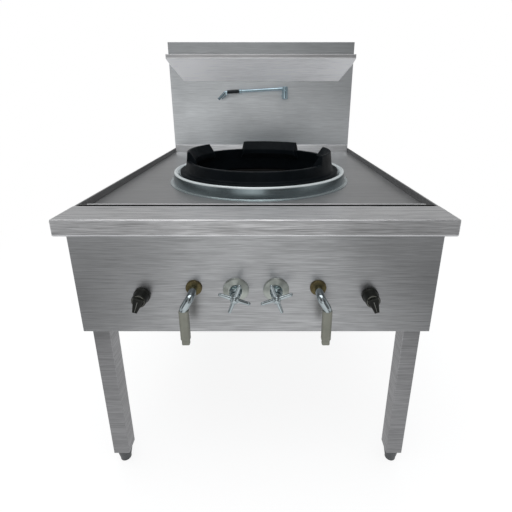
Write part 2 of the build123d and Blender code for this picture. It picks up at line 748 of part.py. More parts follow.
def wok_ring_section():
    """Half section of the cast ring: flange, wall with a beaded rim, and locating lip."""
    seat = z_at(SEAT_RISE)
    flange = seat + WOK_FLANGE_THICKNESS
    rim_z = z_at(WOK_RIM_RISE)
    lip = SEAT_INNER_RADIUS - MID - WOK_LIP_GAP
    lip_foot = seat - WOK_LIP_DEPTH
    return polygon(
        (lip - WOK_LIP_WALL, lip_foot),
        (lip, lip_foot),
        (lip, seat),
        (WOK_FLANGE_RADIUS, seat),
        (WOK_FLANGE_RADIUS, flange - SHEET),
        (WOK_FLANGE_RADIUS - BEND, flange),
        (WOK_WALL_RADIUS + BEND, flange + SHEET),
        (WOK_WALL_RADIUS, flange + SHEET + BEND),
        (WOK_RIM_RADIUS + SHEET, rim_z - BEND),
        (WOK_RIM_RADIUS, rim_z),
        (WOK_RIM_RADIUS - WOK_WALL + SHEET, rim_z),
        (WOK_RIM_RADIUS - WOK_WALL, rim_z - SHEET),
        (lip - WOK_LIP_WALL, seat),
    )


def lug(azimuth):
    """Raised lug of the wok ring, leaning in at the top and narrower there than at its foot."""
    foot = z_at(SEAT_RISE + WOK_FLANGE_THICKNESS)
    top = z_at(LUG_RISE)
    inner = WOK_RIM_RADIUS - WOK_WALL
    section = polygon(
        (inner, foot),
        (WOK_WALL_RADIUS - SHEET, foot),
        (WOK_RIM_RADIUS - SHEET, top - BEND),
        (WOK_RIM_RADIUS - SHEET - BEND, top),
        (WOK_RIM_RADIUS - LUG_TOP_THICKNESS, top),
        (inner - LUG_INNER_REACH, z_at(WOK_RIM_RISE)),
        (inner - LUG_INNER_REACH, z_at(WOK_RIM_RISE) - LUG_INNER_REACH),
    )
    turn = revolve(Plane.XZ * section, axis=Axis.Z, revolution_arc=LUG_BASE_ANGLE)
    arc = Rot(0, 0, -LUG_BASE_ANGLE / 2) * turn
    lean = (LUG_BASE_ANGLE - LUG_TOP_ANGLE) / 2
    for sign in (-1, 1):
        side = math.radians(LUG_BASE_ANGLE / 2)
        point = (WOK_RIM_RADIUS * math.cos(side), sign * WOK_RIM_RADIUS * math.sin(side), foot)
        shift = math.radians(lean) * WOK_RIM_RADIUS
        across = Vector(math.sin(side), -sign * math.cos(side), 0)
        upward = Vector(0, 0, top - foot) + across * shift
        along = Vector(math.cos(side), sign * math.sin(side), 0)
        outward = upward.cross(along) * sign
        arc = split(arc, bisect_by=Plane(origin=point, z_dir=outward), keep=Keep.BOTTOM)
    return Pos(0, RING_Y, 0) * Rot(0, 0, azimuth) * arc


def wok_ring():
    """Cast ring with a broad lug at the back and one on each side."""
    ring = turned(wok_ring_section(), 0, RING_Y)
    for azimuth in (0, 90, 180):
        ring += lug(azimuth + RING_TURN)
    return ring


def chamber_shell():
    """Steel drum below the deck with a holed floor."""
    inner = SHELL_RADIUS
    floor = z_at(-SHELL_DROP)
    section = polygon(
        (FLOOR_HOLE_RADIUS, floor),
        (inner + SHELL_WALL, floor),
        (inner + SHELL_WALL, DECK_UNDER - SHELL_WALL),
        (inner + SHELL_FLANGE, DECK_UNDER - SHELL_WALL),
        (inner + SHELL_FLANGE, DECK_UNDER),
        (inner, DECK_UNDER),
        (inner, floor + SHELL_WALL),
        (FLOOR_HOLE_RADIUS, floor + SHELL_WALL),
    )
    return turned(section, 0, RING_Y)


def chamber_lining():
    """Heat-proof lining, thicker at the foot."""
    outer = SHELL_RADIUS - RUNNING_FIT
    foot = z_at(-SHELL_DROP) + SHELL_WALL
    section = polygon(
        (outer - LINING_FOOT_WALL, foot),
        (outer, foot),
        (outer, z_at(-LINING_TOP_DROP)),
        (outer - LINING_TOP_WALL, z_at(-LINING_TOP_DROP)),
    )
    return turned(section, 0, RING_Y)


def ports(count, radius, top):
    """Flame ports on a circle."""
    holes = []
    for index in range(count):
        angle = 2 * math.pi * index / count
        x, y = radius * math.cos(angle), RING_Y + radius * math.sin(angle)
        holes.append(rod_z(x, y, PORT_RADIUS, top - PORT_DEPTH, top))
    return holes


def burner_ring():
    """Outer cast burner with its ring of ports."""
    top = z_at(-BURNER_DROP)
    section = Pos((BURNER_OUTER + BURNER_INNER) / 2, top - BURNER_HEIGHT / 2) * Rectangle(
        BURNER_OUTER - BURNER_INNER, BURNER_HEIGHT
    )
    section = chamfer(section.vertices().group_by(Axis.Y)[-1], PORT_RADIUS)
    ring = turned(section, 0, RING_Y)
    return ring - ports(RING_PORTS, (BURNER_OUTER + BURNER_INNER) / 2, top)


def burner_core():
    """Inner cast burner with its ports."""
    top = z_at(-BURNER_DROP)
    core = rod_z(0, RING_Y, CORE_RADIUS, top - BURNER_HEIGHT, top)
    core = chamfer(core.edges().group_by(Axis.Z)[-1], PORT_RADIUS)
    return core - ports(CORE_PORTS, CORE_PORT_RADIUS, top)


def burner_stand():
    """Hub and spokes below both burners, with feet on the chamber's floor."""
    under = z_at(-BURNER_DROP) - BURNER_HEIGHT
    floor = z_at(-SHELL_DROP) + SHELL_WALL
    bore = MIXER_RADIUS + RUNNING_FIT
    reach = FLOOR_HOLE_RADIUS + STAND_FOOT
    width = (-STAND_BAR / 2, STAND_BAR / 2)
    stand = rod_z(0, 0, bore + STAND_HUB, under - STAND_BAR / 2, under)
    for index in range(STAND_LEGS):
        spoke = block((bore, reach), width, (under - STAND_BAR / 2, under))
        spoke += block((reach - STAND_FOOT, reach), width, (floor, under))
        stand += Rot(0, 0, STAND_TURN + 360 * index / STAND_LEGS) * spoke
    return Pos(0, RING_Y, 0) * (stand - rod_z(0, 0, bore, floor, under))


def mixer(x_valve, x_burner):
    """Tube from the back of a main valve, below the chamber, up to the underside of a burner."""
    start = PANEL_Y + SHEET + VALVE_GAP + VALVE_LENGTH
    points = [
        (x_valve, start, z_at(-LEVER_DROP)),
        (x_valve, start + MIXER_BEND * 1.5, z_at(-LEVER_DROP)),
        (x_valve, start + MIXER_BEND * 2.5, z_at(-MIXER_DROP)),
        (x_burner, RING_Y - MIXER_BEND * 3, z_at(-MIXER_DROP)),
        (x_burner, RING_Y, z_at(-MIXER_DROP)),
        (x_burner, RING_Y, z_at(-BURNER_DROP) - BURNER_HEIGHT),
    ]
    return pipe(points, MIXER_RADIUS, MIXER_BEND * 0.8)


# Gas

def gas_manifold():
    """Pipe behind the front panel, bent back along the left side to the inlet."""
    y = y_at(MANIFOLD_BEHIND)
    z = z_at(-MANIFOLD_DROP)
    end = y_at(CABINET_BACK) + REAR_OVERHANG - INLET_LENGTH
    points = [(MANIFOLD_REACH, y, z), (-SUPPLY_X, y, z), (-SUPPLY_X, end, z)]
    return pipe(points, MANIFOLD_RADIUS, PIPE_BEND)


def gas_inlet():
    """Socket at the back for the gas supply."""
    z = z_at(-MANIFOLD_DROP)
    socket = rod_y(-SUPPLY_X, z, INLET_RADIUS, BACK_Y - INLET_LENGTH, BACK_Y)
    return socket - rod_y(-SUPPLY_X, z, INLET_BORE, BACK_Y - INLET_SOCKET, BACK_Y)


def gas_valve(sign):
    """Main gas valve: body behind the panel, branch to the manifold and stem through the panel."""
    x, z = LEVER_X, z_at(-LEVER_DROP)
    front = PANEL_Y + SHEET + VALVE_GAP
    valve = rod_y(x, z, VALVE_RADIUS, front, front + VALVE_LENGTH)
    valve += saddle(x, y_at(MANIFOLD_BEHIND), z, z_at(-MANIFOLD_DROP), BRANCH_RADIUS, MANIFOLD_RADIUS)
    valve += rod_y(x, z, VALVE_STEM_RADIUS, PANEL_Y - VALVE_STEM_LENGTH, front)
    return mirrored(valve, sign)


def pilot_valve(sign):
    """Pilot valve behind a knob, with its branch and stem."""
    x, z = KNOB_X, z_at(-KNOB_DROP)
    front = PANEL_Y + SHEET + VALVE_GAP
    valve = rod_y(x, z, PILOT_VALVE_RADIUS, front, front + PILOT_VALVE_LENGTH)
    valve += saddle(x, y_at(MANIFOLD_BEHIND), z, z_at(-MANIFOLD_DROP), PILOT_STEM_RADIUS, MANIFOLD_RADIUS)
    valve += rod_y(x, z, PILOT_STEM_RADIUS, PANEL_Y - PILOT_STEM_LENGTH, front)
    return mirrored(valve, sign)


def pilot_tubes():
    """Thin tubes from the pilot valves to two pilot burners between the main burners."""
    start = PANEL_Y + SHEET + VALVE_GAP + PILOT_VALVE_LENGTH
    low = z_at(-PILOT_TUBE_DROP)
    tip_y = RING_Y - PILOT_TIP_AHEAD
    top = z_at(-BURNER_DROP) - PILOT_TIP_LENGTH
    points = [
        (KNOB_X, start, z_at(-KNOB_DROP)),
        (KNOB_X, start + PILOT_TUBE_BEND * 4, z_at(-KNOB_DROP)),
        (KNOB_X, start + PILOT_TUBE_BEND * 4, low),
        (PILOT_TIP_X, tip_y - PILOT_TUBE_BEND * 4, low),
        (PILOT_TIP_X, tip_y, low),
        (PILOT_TIP_X, tip_y, top),
    ]
    tube = pipe(points, PILOT_TUBE_RADIUS, PILOT_TUBE_BEND)
    tube += rod_z(PILOT_TIP_X, tip_y, PILOT_TIP_RADIUS, top, z_at(-BURNER_DROP))
    return group([mirrored(tube, sign) for sign in SIDES.values()])


# Controls

def pilot_knob(sign):
    """Round knob with a pointer that hangs down and a little outwards."""
    reach = KNOB_GAP + KNOB_REACH
    body = polygon(
        (0, KNOB_GAP),
        (KNOB_SKIRT_RADIUS, KNOB_GAP),
        (KNOB_SKIRT_RADIUS, KNOB_GAP + KNOB_SKIRT),
        (KNOB_RADIUS, KNOB_GAP + KNOB_SKIRT + SHEET),
        (KNOB_RADIUS - SHEET, reach - SHEET),
        (KNOB_RADIUS - 2 * SHEET, reach),
        (0, reach),
    )
    x, z = KNOB_X, z_at(-KNOB_DROP)
    knob = turned_forward(body, x, z)
    pointer = polygon(
        (-POINTER_WIDTH / 2, POINTER_BACK),
        (POINTER_WIDTH / 2, POINTER_BACK),
        (POINTER_TIP_WIDTH / 2, -POINTER_REACH),
        (-POINTER_TIP_WIDTH / 2, -POINTER_REACH),
    )
    low = KNOB_GAP + KNOB_SKIRT + SHEET
    wedge = extrude(Plane(origin=(0, -low, 0), x_dir=(1, 0, 0), z_dir=(0, -1, 0)) * pointer,
                    reach + POINTER_HEIGHT - low)
    wedge = chamfer(wedge.edges().group_by(Axis.Y)[0], SHEET)
    knob += Pos(x, PANEL_Y, z) * Rot(0, -POINTER_TILT, 0) * wedge
    bore = rod_y(x, z, PILOT_STEM_RADIUS + RUNNING_FIT, PANEL_Y - PILOT_STEM_LENGTH - SHEET, PANEL_Y)
    return mirrored(knob - bore, sign)


def lever_discs():
    """Brass discs behind the knee levers."""
    section = polygon(
        (VALVE_STEM_RADIUS + RUNNING_FIT, 0),
        (LEVER_DISC_RADIUS, 0),
        (LEVER_DISC_RADIUS, LEVER_DISC - LEVER_DISC_EDGE),
        (LEVER_DISC_RADIUS - 2 * LEVER_DISC_EDGE, LEVER_DISC),
        (VALVE_STEM_RADIUS + RUNNING_FIT, LEVER_DISC),
    )
    disc = turned_forward(section, LEVER_X, z_at(-LEVER_DROP))
    return group([mirrored(disc, sign) for sign in SIDES.values()])


def lever_stem(sign):
    """Chrome crank of a knee lever: a stub from the valve, a slanted run and a spigot for the bar."""
    x, z = LEVER_X, z_at(-LEVER_DROP)
    end_x, front, knee = x + LEVER_OFFSET, PANEL_Y - LEVER_STANDOFF, z - LEVER_KNEE
    points = [
        (x, PANEL_Y - LEVER_DISC - RUNNING_FIT, z),
        (x, PANEL_Y - LEVER_STUB, z),
        (end_x, front, knee),
        (end_x, front, knee - LEVER_NECK),
    ]
    crank = pipe(points, LEVER_TUBE_RADIUS, LEVER_BEND)
    crank += rod_z(end_x, front, LEVER_SPIGOT_RADIUS, knee - LEVER_SPIGOT, knee)
    bore = rod_y(x, z, VALVE_STEM_RADIUS + RUNNING_FIT, PANEL_Y - VALVE_STEM_LENGTH - SHEET, PANEL_Y)
    return mirrored(crank - bore, sign)


def lever_grip(sign):
    """Matte flat-sided bar of a knee lever, stepped near its end and bored for the spigot."""
    x, y = LEVER_X + LEVER_OFFSET, PANEL_Y - LEVER_STANDOFF
    knee = z_at(-LEVER_DROP - LEVER_KNEE)
    top = knee - LEVER_NECK
    step = top - LEVER_GRIP_LENGTH + LEVER_TIP_LENGTH
    bar = RectangleRounded(LEVER_GRIP_WIDTH, LEVER_GRIP_DEPTH, LEVER_GRIP_CORNER)
    end = offset(bar, -LEVER_TIP_STEP)
    tip = extrude(end, -LEVER_TIP_LENGTH)
    tip = chamfer(tip.edges().group_by(Axis.Z)[0], SHEET / 2)
    grip = Pos(x, y, step) * (extrude(bar, top - step) + tip)
    return mirrored(grip - rod_z(x, y, LEVER_SPIGOT_RADIUS, knee - LEVER_SPIGOT, top), sign)


def tap_flanges():
    """Domed flanges of the taps."""
    section = polygon(
        (TAP_NECK_RADIUS + RUNNING_FIT, 0),
        (TAP_FLANGE_RADIUS, 0),
        (TAP_FLANGE_RADIUS, TAP_FLANGE_RIM),
        (TAP_FLANGE_RADIUS - BEND, TAP_FLANGE_RIM + SHEET),
        (TAP_NECK_RADIUS + BEND, TAP_FLANGE),
        (TAP_NECK_RADIUS + RUNNING_FIT, TAP_FLANGE),
    )
    flange = turned_forward(section, TAP_X, z_at(-TAP_DROP))
    return group([mirrored(flange, sign) for sign in SIDES.values()])


def tap_body(sign):
    """Tap behind and in front of the panel: valve body, neck, packing nut and stem."""
    x, z = TAP_X, z_at(-TAP_DROP)
    back = PANEL_Y + SHEET + VALVE_GAP + TAP_BODY_LENGTH
    body = rod_y(x, z, TAP_BODY_RADIUS, PANEL_Y, back)
    neck = polygon(
        (0, 0),
        (TAP_NECK_RADIUS, 0),
        (TAP_NECK_RADIUS, TAP_FLANGE + SHEET),
        (TAP_NUT_RADIUS, TAP_FLANGE + BEND),
        (TAP_NUT_RADIUS, TAP_NECK - SHEET),
        (TAP_NUT_RADIUS - SHEET, TAP_NECK),
        (TAP_STEM_RADIUS, TAP_NECK),
        (TAP_STEM_RADIUS, TAP_NECK + TAP_STEM),
        (0, TAP_NECK + TAP_STEM),
    )
    body += turned_forward(neck, x, z)
    nut = Rot(90, 0, 0) * extrude(RegularPolygon(TAP_NECK_RADIUS, 6), TAP_NUT)
    body += Pos(x, PANEL_Y - TAP_FLANGE - SHEET, z) * nut
    body += saddle(x, y_at(WATER_BEHIND), z, z_at(-WATER_DROP), WATER_RADIUS - SHEET, WATER_RADIUS)
    return mirrored(body, sign)


def tap_handle(sign):
    """Cross handle: a hub bored for the stem and four tapered arms."""
    x, z = TAP_X, z_at(-TAP_DROP)
    start = TAP_NECK + TAP_HUB_GAP
    hub = polygon(
        (0, start),
        (TAP_HUB_RADIUS - SHEET, start),
        (TAP_HUB_RADIUS, start + SHEET),
        (TAP_HUB_RADIUS, start + TAP_HUB - 2 * SHEET),
        (TAP_HUB_RADIUS - 2 * SHEET, start + TAP_HUB),
        (0, start + TAP_HUB),
    )
    handle = turned_forward(hub, x, z)
    y = PANEL_Y - start - TAP_HUB / 2 - BEND
    for index in range(4):
        angle = math.radians(90 * index + TAP_ARM_TILT)
        across, up = math.cos(angle), math.sin(angle)
        root = (x + TAP_ARM_START * across, y, z + TAP_ARM_START * up)
        tip = (x + TAP_ARM_LENGTH * across, y, z + TAP_ARM_LENGTH * up)
        handle += rod(root, tip, TAP_ARM_RADIUS, TAP_ARM_TIP_RADIUS)
    bore = rod_y(x, z, TAP_STEM_RADIUS + RUNNING_FIT, PANEL_Y - TAP_NECK - TAP_STEM - SHEET, PANEL_Y)
    return mirrored(handle - bore, sign)


# Water

def water_pipe():
    """Supply pipe over both taps, bent back along the right side to its threaded inlet."""
    y, z = y_at(WATER_BEHIND), z_at(-WATER_DROP)
    end = BACK_Y - WATER_INLET_LENGTH
    points = [(-TAP_X - WATER_RADIUS * 2, y, z), (WATER_X, y, z), (WATER_X, end, z)]
    supply = pipe(points, WATER_RADIUS, PIPE_BEND)
    return supply + rod_y(WATER_X, z, WATER_INLET_RADIUS, end, BACK_Y)


def feed_points(sign):
    """First part of the way from a tap's back, over the valves and past the chamber."""
    start = PANEL_Y + SHEET + VALVE_GAP + TAP_BODY_LENGTH
    y, z = y_at(FEED_BEHIND), z_at(-FEED_DROP)
    return [
        (sign * TAP_X, start, z_at(-TAP_DROP)),
        (sign * TAP_X, y, z_at(-TAP_DROP)),
        (sign * TAP_X, y, z),
        (sign * FEED_X, y, z),
        (sign * FEED_X, CAVITY_Y, z),
    ]


def faucet_riser():
    """Pipe from the right tap up behind the splash to the faucet."""
    top = z_at(FAUCET_ELBOW_RISE)
    points = feed_points(1) + [(FEED_X, CAVITY_Y, top), (FAUCET_X, CAVITY_Y, top)]
    return pipe(points, FEED_RADIUS, FEED_BEND)


def rinse_pipe():
    """Pipe from the left tap to a drilled bar behind the foot of the splash."""
    z = z_at(-RINSE_BAR_DROP)
    points = feed_points(-1) + [(-FEED_X, CAVITY_Y, z), (FEED_X - 4 * FEED_RADIUS, CAVITY_Y, z)]
    bar = pipe(points, FEED_RADIUS, FEED_BEND)
    span = 2 * (FEED_X - 8 * FEED_RADIUS)
    for index in range(RINSE_HOLES):
        x = span * (index / (RINSE_HOLES - 1) - 0.5)
        bar -= rod_y(x, z, RINSE_HOLE_RADIUS, CAVITY_Y - 2 * FEED_RADIUS, CAVITY_Y)
    return bar


def build():
    """Every piece of the range by name."""
    pieces = {
        "front_ledge": front_ledge(),
        "deck_plate": deck_plate(),
        "rear_coving": rear_coving(),
        "gutter": gutter(),
        "front_panel": front_panel(),
        "rear_panel": rear_panel(),
        "leg_plugs": leg_plugs(),
        "splash_front": splash_front(),
        "splash_back": splash_back(),
        "splash_screws": splash_screws(),
        "shelf": shelf(),
        "faucet_elbow": faucet_elbow(),
        "faucet_arm": faucet_arm(),
        "faucet_grip": faucet_grip(),
        "faucet_nozzle": faucet_nozzle(),
        "outlet_lever": outlet_lever(),
        "collar_ring": collar_ring(),
        "wok_ring": wok_ring(),
        "chamber_shell": chamber_shell(),
        "chamber_lining": chamber_lining(),
        "burner_ring": burner_ring(),
        "burner_core": burner_core(),
        "burner_stand": burner_stand(),
        "ring_mixer": mixer(-LEVER_X, -(BURNER_OUTER + BURNER_INNER) / 2),
        "core_mixer": mixer(LEVER_X, 0),
        "pilot_tubes": pilot_tubes(),
        "gas_manifold": gas_manifold(),
        "gas_inlet": gas_inlet(),
        "lever_discs": lever_discs(),
        "tap_flanges": tap_flanges(),
        "water_pipe": water_pipe(),
        "faucet_riser": faucet_riser(),
        "rinse_pipe": rinse_pipe(),
    }
    for side, sign in SIDES.items():
        pieces[f"{side}_rim"] = rim(sign)
        pieces[f"{side}_panel"] = side_panel(sign)
        pieces[f"gas_valve_{side}"] = gas_valve(sign)
        pieces[f"pilot_valve_{side}"] = pilot_valve(sign)
        pieces[f"pilot_knob_{side}"] = pilot_knob(sign)
        pieces[f"lever_stem_{side}"] = lever_stem(sign)
        pieces[f"lever_grip_{side}"] = lever_grip(sign)
        pieces[f"tap_body_{side}"] = tap_body(sign)
        pieces[f"tap_handle_{side}"] = tap_handle(sign)
    for place in LEG_PLACES:
        pieces[f"leg_{place}"] = leg(place)
        pieces[f"foot_{place}"] = foot(place)
    return pieces


os.makedirs("parts", exist_ok=True)
for name, piece in build().items():
    export_step(piece, f"parts/{name}.step")
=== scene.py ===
"""Looks for a free-standing stainless wok range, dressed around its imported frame.

All lengths are metres. X runs to the cook's right, the controls face -Y, and the floor is z = 0.
"""

from __future__ import annotations

import json
import logging
import math
from dataclasses import dataclass, field
from enum import Enum
from typing import Any, Iterable, Sequence

import bmesh
import bpy
from mathutils import Matrix, Vector

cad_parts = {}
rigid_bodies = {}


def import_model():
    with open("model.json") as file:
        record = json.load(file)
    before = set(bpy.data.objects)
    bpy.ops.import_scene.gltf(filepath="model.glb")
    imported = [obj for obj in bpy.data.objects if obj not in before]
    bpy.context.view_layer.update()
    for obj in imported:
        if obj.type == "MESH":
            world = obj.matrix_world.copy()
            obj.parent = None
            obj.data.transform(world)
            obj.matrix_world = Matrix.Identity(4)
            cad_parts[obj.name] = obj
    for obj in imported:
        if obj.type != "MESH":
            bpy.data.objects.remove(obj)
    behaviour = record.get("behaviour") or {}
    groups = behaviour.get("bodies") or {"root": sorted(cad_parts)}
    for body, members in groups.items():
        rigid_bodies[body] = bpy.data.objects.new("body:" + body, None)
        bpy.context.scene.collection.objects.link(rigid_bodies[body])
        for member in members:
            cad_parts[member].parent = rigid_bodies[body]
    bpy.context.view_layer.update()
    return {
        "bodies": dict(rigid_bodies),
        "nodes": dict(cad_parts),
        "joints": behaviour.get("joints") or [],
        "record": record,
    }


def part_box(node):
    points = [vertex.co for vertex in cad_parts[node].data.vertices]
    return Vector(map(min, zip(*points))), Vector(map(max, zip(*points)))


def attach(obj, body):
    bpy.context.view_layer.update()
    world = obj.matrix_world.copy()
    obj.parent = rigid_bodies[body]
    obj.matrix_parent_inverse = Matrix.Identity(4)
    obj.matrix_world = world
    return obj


LOG = logging.getLogger("wok_range")

Pair = tuple[float, float]
Triple = tuple[float, float, float]
Colour = Triple
Piece = bpy.types.Object
Shape = bmesh.types.BMesh
Material = bpy.types.Material
Tree = bpy.types.NodeTree
Node = bpy.types.Node
Outputs = bpy.types.NodeOutputs
Socket = bpy.types.NodeSocket

SIDES: dict[str, int] = {"left": -1, "right": 1}
WORKTOP_TOP = 0.765
PANEL_FRONT = -0.56325
WHITE = (1.0, 1.0, 1.0)


class GrainRun(Enum):
    """Which way the brushing runs on a sheet."""

    ACROSS = (1, 0, 0)
    FRONT_TO_BACK = (0, 1, 0)
    UPRIGHT = (0, 0, 1)


class Turn(Enum):
    """Line that a turned profile goes round."""

    UPRIGHT = "upright"
    FORWARD = "forward"


# Shader wiring


class Wiring:
    """Adds shader nodes to one node tree and links them."""

    def __init__(self, tree: Tree) -> None:
        """Keeps the tree that the nodes go into."""
        self.tree = tree

    def node(self, kind: str, **settings: Any) -> Node:
        """Adds one node.

        Args:
            kind: Node type without its ShaderNode prefix.
            **settings: Properties of the node, set by name.

        Returns:
            The new node.
        """
        made = self.tree.nodes.new("ShaderNode" + kind)
        for name, value in settings.items():
            setattr(made, name, value)
        return made

    def feed(self, target: Socket, source: Any) -> None:
        """Links a socket into another, or writes a plain value on it.

        Args:
            target: The input socket.
            source: An output socket, a number, a vector or a colour.
        """
        if isinstance(source, Socket):
            self.tree.links.new(source, target)
        elif target.type == "RGBA" and len(source) == 3:
            target.default_value = (*source, 1.0)
        else:
            target.default_value = source

    def fill(self, node: Node, **values: Any) -> Node:
        """Feeds a node's inputs by name.

        Args:
            node: The node.
            **values: Its inputs, with underscores for the spaces in their names.

        Returns:
            The node.
        """
        for name, value in values.items():
            self.feed(node.inputs[name.replace("_", " ")], value)
        return node

    def line_up(self, node: Node, values: Sequence[Any]) -> Node:
        """Feeds a node's inputs in their order.

        Args:
            node: The node.
            values: What goes into its first inputs.

        Returns:
            The node.
        """
        for socket, value in zip(node.inputs, values):
            self.feed(socket, value)
        return node

    def sum(self, operation: str, *values: Any, clamp: bool = False) -> Socket:
        """Adds a Math node and returns its result."""
        return self.line_up(self.node("Math", operation=operation, use_clamp=clamp), values).outputs[0]

    def times(self, total: Any, *values: Any) -> Socket:
        """Multiplies values with one another.

        Args:
            total: The first value.
            *values: All the others.

        Returns:
            The product's socket.
        """
        for value in values:
            total = self.sum("MULTIPLY", total, value)
        return total

    def weigh(self, *pairs: tuple[Socket, float]) -> Socket:
        """Adds up values, each times its own weight.

        Args:
            *pairs: A value's socket and its weight.

        Returns:
            The total's socket.
        """
        total = self.times(*pairs[0])
        for value, weight in pairs[1:]:
            total = self.sum("MULTIPLY_ADD", value, weight, total)
        return total

    def vector(self, operation: str, *values: Any) -> Outputs:
        """Adds a Vector Math node and returns its outputs: the vector and the value."""
        return self.line_up(self.node("VectorMath", operation=operation), values).outputs

    def where(self, kind: str = "Object") -> Socket:
        """Returns a texture coordinate of the given kind."""
        return self.node("TexCoord").outputs[kind]

    def axes(self, vector: Socket) -> Outputs:
        """Splits a vector into its X, Y and Z."""
        return self.line_up(self.node("SeparateXYZ"), [vector]).outputs

    def spread(self, value: Any, low: Any, high: Any, start: float = 0.0, end: float = 1.0) -> Socket:
        """Maps a value smoothly, so that low gives start and high gives end."""
        made = self.node("MapRange", interpolation_type="SMOOTHSTEP")
        return self.fill(made, Value=value, From_Min=low, From_Max=high, To_Min=start, To_Max=end).outputs["Result"]

    def blend(self, factor: Any, first: Any, second: Any, mode: str = "MIX") -> Socket:
        """Mixes two colours; the factor is the share of the second."""
        made = self.node("Mix", data_type="RGBA", blend_type=mode)
        return self.fill(made, Factor=factor, A=first, B=second).outputs["Result"]

    def choose(self, factor: Any, first: Any, second: Any) -> Socket:
        """Mixes two numbers; the factor is the share of the second."""
        return self.fill(self.node("Mix", data_type="FLOAT"), Factor=factor, A=first, B=second).outputs["Result"]

    def noise(self, place: Any, scale: Any, detail: float = 3.0, roughness: float = 0.55) -> Socket:
        """Adds a noise texture at a place vector and returns its value."""
        made = self.node("TexNoise")
        return self.fill(made, Vector=place, Scale=scale, Detail=detail, Roughness=roughness).outputs["Fac"]

    def place(self, group: Tree, **values: Any) -> Outputs:
        """Places a shared effect in this tree and returns its outputs."""
        return self.fill(self.node("Group", node_tree=group), **values).outputs


def start_group(
    name: str, inputs: dict[str, Any], numbers: Sequence[str], vectors: Sequence[str] = ()
) -> tuple[Wiring, Outputs, Node]:
    """Starts a shader node group with its sockets.

    Args:
        name: Name of the effect.
        inputs: Default of each input by its name; a tuple stands for a vector.
        numbers: Names of the outputs that are numbers.
        vectors: Names of the outputs that are vectors.

    Returns:
        The group's wiring, the sockets of its inputs and its output node.
    """
    group = bpy.data.node_groups.new(name, "ShaderNodeTree")
    for label, default in inputs.items():
        kind = "Vector" if isinstance(default, tuple) else "Float"
        socket = group.interface.new_socket(label, in_out="INPUT", socket_type="NodeSocket" + kind)
        socket.default_value = default
    for label in (*numbers, *vectors):
        kind = "Vector" if label in vectors else "Float"
        group.interface.new_socket(label, in_out="OUTPUT", socket_type="NodeSocket" + kind)
    return Wiring(group), group.nodes.new("NodeGroupInput").outputs, group.nodes.new("NodeGroupOutput")


def brushing_group() -> Tree:
    """Builds the effect of brushed sheet: hairlines, streaks, broad bands and cloudy patches.

    Returns:
        The node group. Its outputs are values about 0.5.
    """
    wiring, given, result = start_group(
        "brushing",
        {"Run": (12, 300, 300), "Side Run": (300, 12, 300), "Shift": 0.0},
        ["Hairlines", "Streaks", "Bands", "Clouds", "Height"],
    )
    run = wiring.node("Mix", data_type="VECTOR")
    sideways = wiring.sum("ABSOLUTE", wiring.axes(wiring.where("Normal"))["X"])
    wiring.fill(run, Factor=wiring.sum("GREATER_THAN", sideways, 0.7))
    # The two vector inputs of this node share their names with its numbers, so they go by place.
    wiring.feed(run.inputs[4], given["Run"])
    wiring.feed(run.inputs[5], given["Side Run"])
    shift = wiring.vector("ADD", wiring.where(), given["Shift"])[0]
    sway = wiring.sum("MULTIPLY_ADD", wiring.noise(shift, 4.0, 2.0), 0.0014, -0.0007)
    stretched = wiring.vector("MULTIPLY", wiring.vector("ADD", shift, sway)[0], run.outputs[1])[0]
    fine = wiring.noise(stretched, 1.0, 3.0, 0.6)
    streaks = wiring.noise(stretched, 0.6, 2.0, 0.6)
    bands = wiring.noise(stretched, 0.14, 2.0, 0.5)
    clouds = wiring.noise(shift, 5.5, 3.0, 0.5)
    height = wiring.weigh((fine, 1.0), (streaks, 0.8))
    wiring.fill(result, Hairlines=fine, Streaks=streaks, Bands=bands, Clouds=clouds, Height=height)
    return wiring.tree


def smudge_group() -> Tree:
    """Builds the effect of wiped-off smears and water marks.

    Returns:
        The node group, which puts out a mask.
    """
    wiring, given, result = start_group("smudges", {"Scale": 14.0, "Cover": 0.4}, ["Mask"])
    patches = wiring.noise(wiring.where(), given["Scale"], 5.0, 0.6)
    edge = wiring.sum("MULTIPLY", wiring.sum("SUBTRACT", 1.0, given["Cover"]), 0.6)
    wiring.fill(result, Mask=wiring.sum("MULTIPLY", wiring.sum("SUBTRACT", patches, edge), 3.0, clamp=True))
    return wiring.tree


def edge_group() -> Tree:
    """Builds the mask of the edges, which the finishes lighten as a painted highlight with some wear.

    Returns:
        The node group, which puts out a mask and a normal that turns smoothly over each edge.
    """
    wiring, given, result = start_group(
        "soft_edges", {"Reach": 0.002, "Gain": 4.0, "Breakup": 180.0}, ["Mask"], ["Normal"]
    )
    bevel = wiring.fill(wiring.node("Bevel", samples=6), Radius=given["Reach"]).outputs[0]
    match = wiring.vector("DOT_PRODUCT", bevel, wiring.node("NewGeometry").outputs["Normal"])["Value"]
    strong = wiring.sum("MULTIPLY", wiring.sum("SUBTRACT", 1.0, match), given["Gain"])
    broken = wiring.sum("ADD", wiring.noise(wiring.where(), given["Breakup"], 4.0, 0.7), 0.2)
    wiring.fill(result, Mask=wiring.sum("MULTIPLY", strong, broken, clamp=True), Normal=bevel)
    return wiring.tree


def pitting_group() -> Tree:
    """Builds the effect of sand-cast or moulded skin: grains, dimples and broad unevenness.

    Returns:
        The node group, which puts out a height and a tone.
    """
    wiring, given, result = start_group("pitting", {"Grain": 900.0, "Dimples": 160.0}, ["Height", "Tone"])
    place = wiring.where()
    grain = wiring.noise(place, given["Grain"], 3.0, 0.7)
    patches = wiring.noise(place, 22.0, 4.0, 0.6)
    cells = wiring.fill(wiring.node("TexVoronoi", feature="SMOOTH_F1"), Vector=place, Scale=given["Dimples"])
    height = wiring.weigh((grain, 0.5), (cells.outputs["Distance"], 0.8))
    wiring.fill(result, Height=height, Tone=wiring.weigh((patches, 0.7), (grain, 0.3)))
    return wiring.tree


